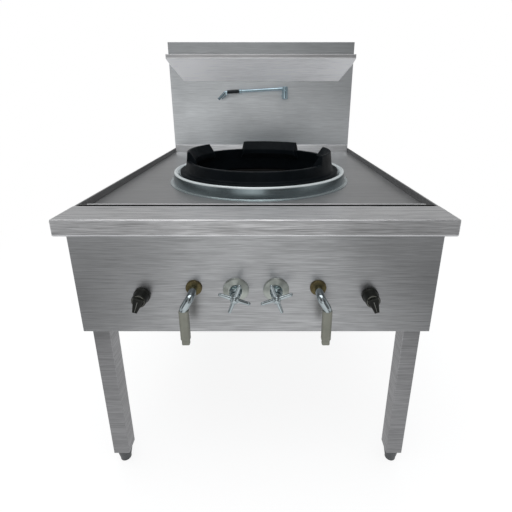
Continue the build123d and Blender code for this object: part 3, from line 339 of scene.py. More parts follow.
def height_ramp_group() -> Tree:
    """Builds a ragged mask that rises from one height to the next, used for smoke blackening, painted shade and a
    painted highlight band.

    Returns:
        The node group, which puts out a mask.
    """
    wiring, given, result = start_group("height_ramp", {"Bottom": 0.5, "Top": 0.6, "Breakup": 0.03}, ["Mask"])
    place = wiring.where()
    ragged = wiring.sum("SUBTRACT", wiring.noise(place, 9.0, 5.0, 0.6), 0.5)
    level = wiring.sum("MULTIPLY_ADD", ragged, given["Breakup"], wiring.axes(place)["Z"])
    wiring.fill(result, Mask=wiring.spread(level, given["Bottom"], given["Top"]))
    return wiring.tree


def facing_group() -> Tree:
    """Builds the masks of the faces that lie upwards, or look down, forwards or to the middle; the finishes use them
    for painted light and shade.

    Returns:
        The node group, which puts out the four masks.
    """
    wiring, _, result = start_group("facing", {}, ["Upper", "Under", "Front", "Inward"])
    parts = wiring.axes(wiring.where("Normal"))
    outwards = wiring.sum("MULTIPLY", parts["X"], wiring.axes(wiring.where())["X"])
    wiring.fill(
        result,
        Upper=wiring.spread(parts["Z"], 0.5, 0.9),
        Under=wiring.spread(parts["Z"], -0.25, -0.5),
        Front=wiring.spread(parts["Y"], -0.3, -0.6),
        Inward=wiring.spread(outwards, -0.1, -0.3),
    )
    return wiring.tree


@dataclass
class Effects:
    """The shared shader effects, built once."""

    brushing: Tree = field(default_factory=brushing_group)
    smudges: Tree = field(default_factory=smudge_group)
    edges: Tree = field(default_factory=edge_group)
    pitting: Tree = field(default_factory=pitting_group)
    height_ramp: Tree = field(default_factory=height_ramp_group)
    facing: Tree = field(default_factory=facing_group)


def start_material(name: str) -> tuple[Material, Wiring, Node]:
    """Makes a material that holds one Principled shader.

    Args:
        name: Name of the material.

    Returns:
        The material, its wiring and its shader.
    """
    material = bpy.data.materials.new(name)
    material.use_nodes = True
    return material, Wiring(material.node_tree), material.node_tree.nodes["Principled BSDF"]


def add_bump(wiring: Wiring, shader: Node, height: Socket, distance: float, strength: float, normal: Socket) -> None:
    """Feeds a height, of a real distance, into a shader's normal."""
    bump = wiring.fill(wiring.node("Bump"), Strength=strength, Distance=distance, Height=height, Normal=normal)
    wiring.fill(shader, Normal=bump.outputs["Normal"])


# Finishes

LINE_WEIGHTS = {"Hairlines": 0.52, "Streaks": 0.33, "Bands": 0.15}
LINE_SPAN = (0.36, 0.64)
# Near black of smoke blackening and of painted shade inside the burner chamber.
SMOKE_AND_SHADE_BLACK = (0.012, 0.012, 0.012)


@dataclass(frozen=True)
class BrushedSteel:
    """Sheet or tube with a brushed finish, whose colour carries painted light and shade by facing, on folds and by
    height.
    """

    name: str
    colour: Colour
    run: GrainRun = GrainRun.ACROSS
    roughness: float = 0.33
    contrast: float = 0.24
    length: float = 16.0
    fineness: float = 900.0
    shift: float = 0.0
    relief: float = 0.00006
    # Colour factors on faces that lie upwards, look down, look forwards or face the middle: painted light and shade.
    upper: float = 1.0
    under: float = 1.0
    front: float = 1.0
    inward: float = 1.0
    fold: float = 0.0025
    # Colour factor on folds: a painted highlight.
    edge_highlight_gain: float = 1.25
    metallic: float = 1.0
    under_metallic: float = 1.0
    under_roughness: float = 0.0
    # Darkening above one height, and in a ragged ramp between two heights: painted shade.
    painted_shade_above: Pair = (9.0, 9.006)
    painted_shade_above_gain: float = 1.0
    painted_shade_ramp: Pair = (9.0, 9.1)
    painted_shade_ramp_gain: float = 1.0

    def make(self, effects: Effects) -> Material:
        """Builds the material.

        Args:
            effects: The shared effects.

        Returns:
            The finished material.
        """
        material, wiring, shader = start_material(self.name)
        run = tuple(self.length if along else self.fineness for along in self.run.value)
        side = (self.fineness, self.length, self.fineness) if self.run is GrainRun.ACROSS else run
        grain = wiring.place(effects.brushing, Run=run, Side_Run=side, Shift=self.shift)
        smears = wiring.place(effects.smudges, Scale=9.0, Cover=0.45)["Mask"]
        edges = wiring.place(effects.edges, Reach=self.fold, Gain=3.0, Breakup=60.0)
        lie = wiring.place(effects.facing)
        painted_shade_above = wiring.place(effects.height_ramp, Bottom=self.painted_shade_above[0], Top=self.painted_shade_above[1], Breakup=0.0)["Mask"]
        painted_shade_ramp = wiring.place(effects.height_ramp, Bottom=self.painted_shade_ramp[0], Top=self.painted_shade_ramp[1], Breakup=0.02)["Mask"]
        # Painted light and shade: the facing masks, the folds and the heights scale the colour.
        painted_light_gains = [(lie["Upper"], self.upper), (lie["Under"], self.under), (lie["Front"], self.front)]
        painted_light_gains += [(lie["Inward"], self.inward), (edges["Mask"], self.edge_highlight_gain)]
        painted_light_gains += [(painted_shade_above, self.painted_shade_above_gain), (painted_shade_ramp, self.painted_shade_ramp_gain)]
        lines = wiring.weigh(*((grain[name], weight) for name, weight in LINE_WEIGHTS.items()))
        tone = wiring.spread(lines, *LINE_SPAN, 1.0 - self.contrast, 1.0 + self.contrast)
        cloud = wiring.spread(grain["Clouds"], 0.3, 0.7, 0.96, 1.04)
        shade = wiring.times(tone, cloud, *(wiring.choose(mask, 1.0, gain) for mask, gain in painted_light_gains))
        rough = wiring.spread(lines, *LINE_SPAN, self.roughness + 0.04, self.roughness - 0.04)
        rough = wiring.sum("MULTIPLY_ADD", smears, 0.05, rough)
        rough = wiring.sum("MULTIPLY_ADD", lie["Under"], self.under_roughness, rough)
        metal = wiring.choose(lie["Under"], self.metallic, self.under_metallic)
        metal = wiring.choose(edges["Mask"], metal, self.metallic * 0.4)
        colour = wiring.blend(1.0, self.colour, shade, "MULTIPLY")
        wiring.fill(shader, Base_Color=colour, Roughness=rough, Metallic=metal)
        add_bump(wiring, shader, grain["Height"], self.relief, 0.3, edges["Normal"])
        return material


@dataclass(frozen=True)
class BrightMetal:
    """Polished or plated metal with faint wear and fingermarks, painted highlights on its edges and, where set,
    painted light on its top faces and rolled band.
    """

    name: str
    colour: Colour
    dull: Colour
    roughness: float = 0.08
    worn: float = 0.12
    smears: float = 22.0
    cover: float = 0.35
    edge: float = 0.0012
    grain: float = 0.00002
    upper: Colour | None = None
    upper_metallic: float = 1.0
    band: Pair = (9.0, 9.0035)
    flat_share: float = 0.45

    def make(self, effects: Effects) -> Material:
        """Builds the material.

        Args:
            effects: The shared effects.

        Returns:
            The finished material.
        """
        material, wiring, shader = start_material(self.name)
        marks = wiring.place(effects.smudges, Scale=self.smears, Cover=self.cover)["Mask"]
        edges = wiring.place(effects.edges, Reach=self.edge, Gain=3.0, Breakup=220.0)
        skin = wiring.place(effects.pitting, Grain=1400.0, Dimples=300.0)
        tinted, metal = wiring.blend(marks, self.colour, self.dull), 1.0
        # Painted light: faces that lie upwards and the rolled band take the lighter upper colour and lose metallic.
        if self.upper:
            flat = wiring.sum("MULTIPLY", wiring.place(effects.facing)["Upper"], self.flat_share)
            rolled = wiring.place(effects.height_ramp, Bottom=self.band[0], Top=self.band[1], Breakup=0.0)["Mask"]
            bright_part = wiring.sum("MAXIMUM", flat, rolled)
            tinted = wiring.blend(bright_part, tinted, self.upper)
            metal = wiring.choose(bright_part, 1.0, self.upper_metallic)
        # Painted highlight: the edges lighten towards a brighter copy of the colour.
        bright = tuple(min(1.0, part * 1.4) for part in self.colour)
        worn_and_highlit = wiring.blend(wiring.sum("MULTIPLY", edges["Mask"], 0.6), tinted, bright)
        rough = wiring.sum("MULTIPLY_ADD", marks, self.worn, self.roughness)
        wiring.fill(shader, Base_Color=worn_and_highlit, Roughness=rough, Metallic=metal)
        add_bump(wiring, shader, skin["Height"], self.grain, 0.3, edges["Normal"])
        return material


@dataclass(frozen=True)
class RoughSkin:
    """Cast, moulded or coated surface with grain, patches, and edges lightened by wear and a painted highlight."""

    name: str
    colour: Colour
    patch: Colour
    edge_highlight_colour: Colour
    roughness: float = 0.5
    metallic: float = 0.0
    specular: float = 0.4
    grain: float = 900.0
    dimples: float = 160.0
    relief: float = 0.0004
    edge: float = 0.002
    edge_highlight_share: float = 0.5
    height_ramp: Pair | None = None

    def make(self, effects: Effects) -> Material:
        """Builds the material.

        Args:
            effects: The shared effects.

        Returns:
            The finished material.
        """
        material, wiring, shader = start_material(self.name)
        skin = wiring.place(effects.pitting, Grain=self.grain, Dimples=self.dimples)
        edges = wiring.place(effects.edges, Reach=self.edge, Gain=4.0, Breakup=150.0)
        body = wiring.blend(wiring.spread(skin["Tone"], 0.35, 0.65), self.colour, self.patch)
        # Painted highlight with some wear: the edges turn towards the lighter edge colour.
        worn_and_highlit = wiring.blend(wiring.sum("MULTIPLY", edges["Mask"], self.edge_highlight_share), body, self.edge_highlight_colour)
        # Where set, a ramp darkens it to near black towards its top: smoke blackening, and painted shade inside the
        # burner chamber.
        if self.height_ramp:
            smoked_and_shaded = wiring.place(effects.height_ramp, Bottom=self.height_ramp[0], Top=self.height_ramp[1])["Mask"]
            worn_and_highlit = wiring.blend(smoked_and_shaded, worn_and_highlit, SMOKE_AND_SHADE_BLACK)
        rough = wiring.spread(skin["Tone"], 0.3, 0.7, self.roughness + 0.08, self.roughness - 0.08)
        wiring.fill(shader, Base_Color=worn_and_highlit, Roughness=rough)
        wiring.fill(shader, Metallic=self.metallic, Specular_IOR_Level=self.specular)
        add_bump(wiring, shader, skin["Height"], self.relief, 0.5, edges["Normal"])
        return material


FINISHES: dict[str, Any] = {
    "brushed_sheet": BrushedSteel("panel_steel", (0.565, 0.575, 0.588)),
    "brushed_legs": BrushedSteel("leg_steel", (0.45, 0.453, 0.465), shift=3.1),
    # The splash darkens in a ragged ramp up to the shelf, painted shadow of the shelf, and more above it, painted
    # shade on the upstand.
    "splash_sheet": BrushedSteel(
        "splash_steel", (0.79, 0.82, 0.84), shift=7.7, contrast=0.12, painted_shade_above=(WORKTOP_TOP + 0.44, WORKTOP_TOP + 0.446),
        painted_shade_above_gain=0.72, painted_shade_ramp=(WORKTOP_TOP + 0.10, WORKTOP_TOP + 0.34), painted_shade_ramp_gain=0.81
    ),
    "plain_sheet": BrushedSteel("mill_steel", (0.56, 0.56, 0.565), GrainRun.UPRIGHT, 0.42, 0.10, shift=5.3),
    # The spun collar's top faces and rolled top band are a painted highlight: a lighter colour with little metallic.
    "polished_steel": BrightMetal(
        "spun_steel", (0.34, 0.41, 0.43), (0.27, 0.33, 0.35), 0.15, 0.08, 9.0, 0.4, 0.003, upper=(0.84, 0.90, 0.91),
        upper_metallic=0.3, band=(WORKTOP_TOP + 0.0095, WORKTOP_TOP + 0.013)
    ),
    "chrome": BrightMetal("chrome_plate", (0.60, 0.68, 0.71), (0.42, 0.48, 0.51)),
    "brass": BrightMetal("dull_brass", (0.30, 0.25, 0.12), (0.17, 0.14, 0.075), 0.32, 0.2, 60.0, 0.55, grain=0.0001),
    "copper_tube": BrightMetal("aged_copper", (0.66, 0.38, 0.25), (0.38, 0.21, 0.15), 0.28, 0.25, 30.0, 0.6),
    "steel_pipe": RoughSkin(
        "dull_pipe", (0.20, 0.20, 0.205), (0.14, 0.13, 0.125), (0.45, 0.45, 0.45), 0.45, 0.8, 0.5, 700.0, 240.0, 0.0002
    ),
    "cast_iron": RoughSkin(
        "black_iron", (0.0025, 0.0042, 0.0056), (0.0045, 0.0065, 0.0085), (0.035, 0.045, 0.05), 0.46, 0.0, 0.07, 520.0,
        130.0, 0.0004, 0.004
    ),
    # The lining darkens near its top: smoke blackening, and painted shade inside the burner chamber.
    "refractory": RoughSkin(
        "heatproof_cement", (0.40, 0.34, 0.27), (0.24, 0.21, 0.17), (0.50, 0.45, 0.38), 0.9, 0.0, 0.2, 260.0, 60.0,
        0.0012, 0.004, 0.4, (0.545, 0.645)
    ),
    "lever_bar": RoughSkin(
        "bar_coating", (0.34, 0.345, 0.295), (0.27, 0.275, 0.235), (0.56, 0.56, 0.52), 0.42, 0.5, 0.4, 1200.0, 320.0,
        0.00008, 0.002, 0.6
    ),
    "knob_black": RoughSkin(
        "knob_plastic", (0.009, 0.010, 0.0085), (0.016, 0.017, 0.0145), (0.13, 0.13, 0.115), 0.34, 0.0, 0.25, 1800.0,
        420.0, 0.00005, 0.0014, 0.8
    ),
    "grip_black": RoughSkin(
        "grip_rubber", (0.010, 0.014, 0.018), (0.016, 0.020, 0.024), (0.05, 0.06, 0.07), 0.45, 0.0, 0.25, 1500.0,
        380.0, 0.0001, 0.001
    ),
    "foot_grey": RoughSkin(
        "foot_plastic", (0.135, 0.14, 0.145), (0.10, 0.105, 0.11), (0.26, 0.26, 0.26), 0.4, 0.0, 0.4, 1300.0,
        300.0, 0.0001, 0.0015
    ),
    "plug_black": RoughSkin(
        "plug_plastic", (0.02, 0.02, 0.02), (0.03, 0.03, 0.03), (0.08, 0.08, 0.08), grain=1300.0, dimples=300.0,
        relief=0.0001
    ),
}

EXTRA_FINISHES: dict[str, Any] = {
    # The ledge's top is brighter and its folds lighter: painted light and a painted highlight.
    "ledge": BrushedSteel(
        "ledge_steel", (0.635, 0.638, 0.647), roughness=0.34, contrast=0.42, shift=2.3, upper=1.4, metallic=0.88,
        fold=0.003, edge_highlight_gain=2.3
    ),
    # Deck faces that look forwards are nearly black: painted shade along the slot.
    "deck": BrushedSteel(
        "deck_steel", (0.495, 0.498, 0.503), contrast=0.09, shift=1.7, metallic=0.8, front=0.06, fold=0.001,
        edge_highlight_gain=1.6
    ),
    # The shelf's underside is brighter, rougher and not metallic: painted light.
    "shelf": BrushedSteel(
        "shelf_steel", (0.56, 0.56, 0.57), contrast=0.14, shift=6.2, under=1.75, under_metallic=0.0,
        under_roughness=0.25, fold=0.003, edge_highlight_gain=2.3
    ),
    # The rims are darker on top and much darker on faces towards the middle: painted shade.
    "rim": BrushedSteel(
        "rim_steel", (0.60, 0.60, 0.605), GrainRun.FRONT_TO_BACK, 0.55, 0.1, shift=2.4, upper=0.6, inward=0.3,
        metallic=0.5
    ),
    "side": BrushedSteel("side_steel", (0.58, 0.583, 0.592), GrainRun.FRONT_TO_BACK, shift=4.6),
    # The gutter is near black: painted shade in the slot.
    "gutter": BrushedSteel("gutter_shade_black", (0.03, 0.03, 0.03), roughness=0.6, contrast=0.1, shift=9.2, metallic=0.2),
    "faucet_chrome": BrightMetal("faucet_plate", (0.50, 0.64, 0.71), (0.29, 0.40, 0.46), 0.07, 0.1),
    # The hems are a lighter, less metallic copy of the sheet steel: a painted highlight along the edges.
    "hem": BrushedSteel("hem_highlight_steel", (0.84, 0.845, 0.855), contrast=0.1, shift=0.6, fold=0.0005, metallic=0.3),
    "tap_flange": BrightMetal("flange_plate", (0.76, 0.81, 0.76), (0.62, 0.665, 0.62), 0.28, 0.12, 40.0, 0.5),
    # The tap bodies take a darker copy of chrome: painted dark reflection.
    "tap_chrome": BrightMetal("tap_plate_painted_dark", (0.26, 0.33, 0.35), (0.16, 0.21, 0.23), 0.06, 0.1),
    # The knob's cap ring is a lighter copy of the knob plastic: a painted highlight.
    "knob_rim": RoughSkin(
        "knob_rim_highlight", (0.15, 0.15, 0.13), (0.10, 0.10, 0.09), (0.26, 0.26, 0.225), 0.3, 0.0, 0.4, 1500.0, 400.0,
        0.00003, 0.0006, 0.6
    ),
    # A light strip along each knob's pointer: a painted highlight.
    "mark": RoughSkin(
        "painted_pointer_highlight", (0.26, 0.26, 0.24), (0.19, 0.19, 0.175), (0.38, 0.38, 0.36), grain=1500.0, dimples=400.0,
        relief=0.00003
    ),
}


class Palette:
    """All the finished materials, by the record's slot names and by piece."""

    def __init__(self) -> None:
        """Builds the shared effects and every material."""
        effects = Effects()
        self.materials = {name: finish.make(effects) for name, finish in {**FINISHES, **EXTRA_FINISHES}.items()}

    def __getitem__(self, name: str) -> Material:
        """Returns the material of that name."""
        return self.materials[name]


# Mesh tools

SHARP_ANGLE = 35.0


def put(name: str, data: Any) -> Piece:
    """Puts an object in the scene.

    Args:
        name: Name of the object.
        data: Its mesh, light or camera.

    Returns:
        The new object.
    """
    made = bpy.data.objects.new(name, data)
    bpy.context.scene.collection.objects.link(made)
    return made


def turn_profile(shape: Shape, profile: Sequence[Pair], place: Matrix, steps: int = 48) -> None:
    """Adds a turned solid to a bmesh.

    Args:
        shape: The bmesh.
        profile: Radius and height of each point, from the middle out and round to the middle again.
        place: Where its zero goes; the solid turns round the Z of this place.
        steps: Facets round the turn.
    """
    rings: list[list[bmesh.types.BMVert]] = []
    for radius, height in profile:
        ring = []
        for index in range(1 if radius == 0 else steps):
            angle = 2 * math.pi * index / steps
            ring.append(shape.verts.new(place @ Vector((radius * math.cos(angle), radius * math.sin(angle), height))))
        rings.append(ring)
    for first, second in zip(rings, rings[1:]):
        for index in range(steps):
            after = (index + 1) % steps
            pairs = ((first, index), (first, after), (second, after), (second, index))
            unique = list(dict.fromkeys(ring[spot % len(ring)] for ring, spot in pairs))
            if len(unique) > 2:
                shape.faces.new(unique)


def add_bead(
    shape: Shape, radius: float, width: float, place: Matrix, depth: float = 0.0015, fall: float = 0.0003
) -> None:
    """Adds a rounded ring that sits round a shaft.

    Args:
        shape: The bmesh.
        radius: Its largest radius.
        width: Its width along the shaft.
        place: Frame of its rear edge; the shaft runs along the Z of this frame.
        depth: How far its inner face lies below the largest radius.
        fall: How far its shoulders lie below it.
    """
    inner = radius - depth
    profile = [(inner, 0.0), (radius - fall, width * 0.12), (radius, width * 0.35), (radius, width * 0.65)]
    profile += [(radius - fall, width * 0.88), (inner, width), (inner, 0.0)]
    turn_profile(shape, profile, place)


def add_prism(shape: Shape, outline: Sequence[Pair], place: Matrix, height: float, bevel: float) -> None:
    """Adds an upright prism with rounded top edges to a bmesh.

    Args:
        shape: The bmesh.
        outline: Corners in the prism's own plane.
        place: Where the prism goes.
        height: Its height.
        bevel: Rounding of its top edges.
    """
    low = [shape.verts.new(place @ Vector((x, y, 0))) for x, y in outline]
    high = [shape.verts.new(place @ Vector((x, y, height))) for x, y in outline]
    shape.faces.new(list(reversed(low)))
    top = shape.faces.new(high)
    count = len(outline)
    for index in range(count):
        after = (index + 1) % count
        shape.faces.new([low[index], low[after], high[after], high[index]])
    if bevel:
        bmesh.ops.bevel(shape, geom=list(top.edges), offset=bevel, segments=3, profile=0.5, affect="EDGES")


def hexagon(across: float) -> list[Pair]:
    """Corners of a hexagon, by the distance between its flats."""
    radius, angles = across / math.sqrt(3), [math.radians(60 * turn) for turn in range(6)]
    return [(radius * math.cos(angle), radius * math.sin(angle)) for angle in angles]


def facing(place: Triple, turn: Turn = Turn.FORWARD, back: bool = False) -> Matrix:
    """Frame of a piece whose own Z points at the cook, at the wall or up."""
    tilt = 0 if turn is Turn.UPRIGHT else (-90 if back else 90)
    return Matrix.Translation(place) @ Matrix.Rotation(math.radians(tilt), 4, "X")


def pointing(place: Vector, along: Vector) -> Matrix:
    """Frame at a place whose Z points along a direction."""
    return Matrix.Translation(place) @ along.to_track_quat("Z", "Y").to_matrix().to_4x4()


def dress(nodes: Iterable[str], frame: dict[str, Any], material: Material) -> None:
    """Gives CAD nodes a finished material.

    Args:
        nodes: Names of the nodes.
        frame: The loaded frame.
        material: The material.
    """
    for name in nodes:
        for slot in frame["nodes"][name].material_slots:
            slot.material = material


# Sub-assemblies


@dataclass
class SubAssembly:
    """A group of pieces that belong together."""

    frame: dict[str, Any]
    palette: Palette

    def add(self, name: str, shape: Shape, body: str, slot: str, finish: str = "") -> Piece:
        """Smooths and dresses a shape, puts it in the scene and hangs it on a body.

        Args:
            name: Name of the piece.
            shape: Its bmesh in the frame's coordinates, which is freed.
            body: The body that it moves with.
            slot: The record's slot of its finish.
            finish: Its finish, where that isn't the slot's own.

        Returns:
            The piece.
        """
        bmesh.ops.recalc_face_normals(shape, faces=shape.faces)
        mesh = bpy.data.meshes.new(name)
        shape.to_mesh(mesh)
        shape.free()
        mesh.shade_smooth()
        mesh.set_sharp_from_angle(angle=math.radians(SHARP_ANGLE))
        mesh.materials.append(self.palette[finish or slot])
        piece = put(name, mesh)
        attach(piece, body)
        return piece

    def build(self) -> list[Piece]:
        """Builds the added pieces and returns them."""
        return []


@dataclass
class SheetWork(SubAssembly):
    """Worktop, cabinet, splash and legs: sheet finishes that follow each sheet's brushing."""

    ledge_hem: Pair = (0.0020, 0.001)
    shelf_hem: Pair = (0.0026, 0.001)
    deck_hem: Pair = (0.0013, 0.020)
    shelf_lip: float = 0.019
    deck_edge: float = 0.003

    def hem(self, name: str, sizes: Pair, half: float, edge: Pair) -> Piece:
        """Builds the rounded hem along a sheet's edge.

        Args:
            name: Name of the hem.
            sizes: Its radius, and the gap at each end.
            half: Half of the sheet's width.
            edge: Depth and height of the edge; the hem stands a little proud of it.

        Returns:
            The hem.
        """
        radius, gap = sizes
        half -= gap
        shape = bmesh.new()
        along = Matrix.Rotation(math.radians(90), 4, "Y")
        place = Matrix.Translation((0.0, edge[0] + radius * 0.6, edge[1] + radius * 0.6)) @ along
        profile = [(0.0, -half), (radius * 0.7, -half), (radius, -half + radius), (radius, half - radius)]
        profile += [(radius * 0.7, half), (0.0, half)]
        turn_profile(shape, profile, place, 20)
        # The hem finish paints a highlight along the sheet's edge.
        return self.add(name, shape, "range", "brushed_sheet", "hem")

    def build(self) -> list[Piece]:
        """Dresses the sheets whose finish differs from their slot's, and builds the hems.

        Returns:
            The hems.
        """
        own = {
            "ledge": ["front_ledge"],
            "deck": ["deck_plate"],
            "shelf": ["shelf"],
            "gutter": ["gutter"],
            "rim": ["left_rim", "right_rim"],
            "side": ["left_panel", "right_panel"],
            "tap_flange": ["tap_flanges"],
            "tap_chrome": ["tap_body_left", "tap_body_right"],
            "faucet_chrome": ["faucet_elbow", "faucet_arm", "faucet_nozzle", "outlet_lever"],
        }
        for finish, nodes in own.items():
            dress(nodes, self.frame, self.palette[finish])
        ledge, shelf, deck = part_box("front_ledge"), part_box("shelf"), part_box("deck_plate")
        deck_edge = (deck[0][1] + self.deck_edge, deck[1][2] - self.deck_hem[0])
        return [
            self.hem("ledge_hem", self.ledge_hem, ledge[1][0], (ledge[0][1], ledge[0][2])),
            self.hem("shelf_hem", self.shelf_hem, shelf[1][0], (shelf[0][1], shelf[1][2] - self.shelf_lip)),
            self.hem("deck_hem", self.deck_hem, deck[1][0], deck_edge),
        ]


@dataclass
class Fastenings(SubAssembly):
    """Black crosses on the screw heads of the back cover and rear panel, painted shade for their cross recesses, and
    the rear panel's screws.
    """

    across: float = 0.428
    rows: int = 4
    arm: float = 0.0026
    width: float = 0.0007
    panel_across: tuple[float, ...] = (-0.408, -0.14, 0.14, 0.408)
    panel_rows: tuple[float, ...] = (0.479, 0.713)
    head: float = 0.0046
    head_rise: float = 0.0022
    sunk: float = 0.0001
    first_turn: float = 17.0
    next_turn: float = 31.0

    def cross(self, shape: Shape, place: Matrix) -> None:
        """Adds one black cross, painted shade for a cross recess.

        Args:
            shape: The bmesh.
            place: Frame of the screw head's face.
        """
        outline = [(-self.arm, -self.width), (self.arm, -self.width), (self.arm, self.width), (-self.arm, self.width)]
        for turn in (0, 90):
            add_prism(shape, outline, place @ Matrix.Rotation(math.radians(turn), 4, "Z"), 0.0002, 0.0)

    def build(self) -> list[Piece]:
        """Builds the crosses and the panel's screws.

        Returns:
            The crosses, and the screws with theirs.
        """
        lowest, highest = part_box("splash_screws")
        head = (highest[0] - lowest[0]) / 2 - self.across
        step = (highest[2] - lowest[2] - 2 * head) / (self.rows - 1)
        crosses = bmesh.new()
        for x in (lowest[0] + head, highest[0] - head):
            for row in range(self.rows):
                spot = (x, highest[1] - self.sunk, lowest[2] + head + row * step)
                turn = math.radians(self.first_turn + self.next_turn * row)
                self.cross(crosses, facing(spot, back=True) @ Matrix.Rotation(turn, 4, "Z"))
        heads = bmesh.new()
        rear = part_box("rear_panel")[1][1]
        radius, rise = self.head, self.head_rise
        dome = [(0.0, rise), (radius * 0.55, rise * 0.95), (radius * 0.9, rise * 0.55), (radius, 0.0)]
        dome += [(radius, -0.0008), (0.0, -0.0008)]
        for x in self.panel_across:
            for z in self.panel_rows:
                turn_profile(heads, dome, facing((x, rear, z), back=True), 24)
                self.cross(crosses, facing((x, rear + self.head_rise - self.sunk, z), back=True))
        return [
            self.add("screw_recess_shade", crosses, "range", "plug_black"),
            self.add("rear_panel_screws", heads, "range", "chrome"),
        ]


@dataclass
class Knobs(SubAssembly):
    """Painted highlights on the pilot knobs: a light strip along each pointer, and the raised ring round each cap."""

    across: float = 0.273
    height: float = WORKTOP_TOP - 0.197
    cap_face: float = PANEL_FRONT - 0.031
    cap_radius: float = 0.0155
    ring_width: float = 0.0024
    ring_rise: float = 0.0011
    pointer_highlight_face: float = PANEL_FRONT - 0.040
    tilt: float = 20.0
    mark: tuple[Pair, ...] = ((-0.0007, 0.004), (0.0007, 0.004), (0.0005, -0.0245), (-0.0005, -0.0245))

    def build(self) -> list[Piece]:
        """Builds one light pointer strip and one ring for each knob.

        Returns:
            The strips and rings.
        """
        made = []
        outer, inner, rise = self.cap_radius, self.cap_radius - self.ring_width, self.ring_rise
        profile = [(inner, -0.0006), (inner, rise * 0.7), (inner + 0.0004, rise), (outer - 0.0006, rise)]
        profile += [(outer - 0.0001, rise * 0.5), (outer - 0.0001, -0.0006)]
        for side, sign in SIDES.items():
            mark = bmesh.new()
            place = facing((sign * self.across, self.pointer_highlight_face + 0.0002, self.height))
            tilt = Matrix.Rotation(sign * math.radians(self.tilt), 4, "Z")
            add_prism(mark, self.mark, place @ tilt, 0.0004, 0.0001)
            # The pointer strip is a painted highlight.
            made.append(self.add(f"knob_pointer_highlight_{side}", mark, f"pilot_knob_{side}", "foot_grey", "mark"))
            ring = bmesh.new()
            turn_profile(ring, profile, facing((sign * self.across, self.cap_face, self.height)), 64)
            # The raised ring takes the lighter rim finish, a painted highlight round the cap.
            made.append(self.add(f"knob_ring_{side}", ring, f"pilot_knob_{side}", "knob_black", "knob_rim"))
        return made


@dataclass
class Taps(SubAssembly):
    """Domed buttons, arm ends and hub rings of the cross handles, and the rings on the taps' necks."""

    across: float = 0.048
    height: float = WORKTOP_TOP - 0.183
    face: float = PANEL_FRONT - 0.0525
    arm_y: float = PANEL_FRONT - 0.043
    arm_length: float = 0.0345
    tip: float = 0.00432
    tilt: float = 20.0
    button: float = 0.0062
    arms: int = 4
    hub_ring: Pair = (0.0315, 0.0102)
    hub_bead: float = 0.0026
    neck_bead: float = 0.0024
    neck_rings: tuple[Pair, ...] = ((0.0207, 0.0134), (0.0240, 0.0128))

    def build(self) -> list[Piece]:
        """Builds the buttons, the arm ends and the rings.

        Returns:
            One piece for each handle, and one for both necks.
        """
        made = []
        dome = [(0.0, 0.0022), (self.button * 0.5, 0.0019), (self.button * 0.85, 0.0012), (self.button, 0.0)]
        dome += [(self.button, -0.001), (0.0, -0.001)]
        for side, sign in SIDES.items():
            shape = bmesh.new()
            turn_profile(shape, dome, facing((sign * self.across, self.face, self.height)), 32)
            for index in range(self.arms):
                angle = math.radians(360 / self.arms * index + self.tilt)
                reach = Vector((sign * math.cos(angle), 0, math.sin(angle)))
                centre = Vector((sign * self.across, self.arm_y, self.height)) + reach * self.arm_length
                ball = bmesh.ops.create_uvsphere(shape, u_segments=16, v_segments=10, radius=self.tip)
                bmesh.ops.translate(shape, verts=ball["verts"], vec=centre)
            ahead, radius = self.hub_ring
            add_bead(shape, radius, self.hub_bead, facing((sign * self.across, PANEL_FRONT - ahead, self.height)))
            made.append(self.add(f"tap_handle_ends_{side}", shape, f"tap_handle_{side}", "chrome"))
        necks = bmesh.new()
        for sign in SIDES.values():
            for ahead, radius in self.neck_rings:
                add_bead(necks, radius, self.neck_bead, facing((sign * self.across, PANEL_FRONT - ahead, self.height)))
        made.append(self.add("tap_neck_rings", necks, "range", "chrome"))
        return made


@dataclass
class Levers(SubAssembly):
    """Small countersunk screws that hold the levers' brass discs."""

    across: float = 0.148
    height: float = WORKTOP_TOP - 0.177
    spread: float = 0.0142
    head: float = 0.0021

    def build(self) -> list[Piece]:
        """Builds the screws.

        Returns:
            One piece that holds them all.
        """
        shape = bmesh.new()
        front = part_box("lever_discs")[0][1]
        dome = [(0.0, 0.0005), (self.head * 0.7, 0.00045), (self.head, 0.0), (self.head, -0.0006), (0.0, -0.0006)]
        for sign in SIDES.values():
            for side in SIDES.values():
                spot = (sign * self.across + side * self.spread, front, self.height)
                turn_profile(shape, dome, facing(spot), 20)
        return [self.add("lever_disc_screws", shape, "range", "brass")]


@dataclass
class Inlets(SubAssembly):
    """Locknuts that hold the gas and water inlets to the rear panel."""

    gas_flats: float = 0.046
    water_flats: float = 0.030
    water_radius: float = 0.0104
    water_level: float = WORKTOP_TOP - 0.142
    height: float = 0.006
    chamfer: float = 0.0008

    def build(self) -> list[Piece]:
        """Builds the locknuts.

        Returns:
            One nut for each inlet.
        """
        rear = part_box("rear_panel")[1][1]
        low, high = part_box("gas_inlet")
        water_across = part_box("water_pipe")[1][0] - self.water_radius
        nuts = (
            ("gas_inlet_nut", self.gas_flats, (low[0] + high[0]) / 2, (low[2] + high[2]) / 2, "steel_pipe"),
            ("water_inlet_nut", self.water_flats, water_across, self.water_level, "brass"),
        )
        made = []
        for name, flats, x, z, slot in nuts:
            shape = bmesh.new()
            add_prism(shape, hexagon(flats), facing((x, rear, z), back=True), self.height, self.chamfer)
            made.append(self.add(name, shape, "range", slot))
        return made


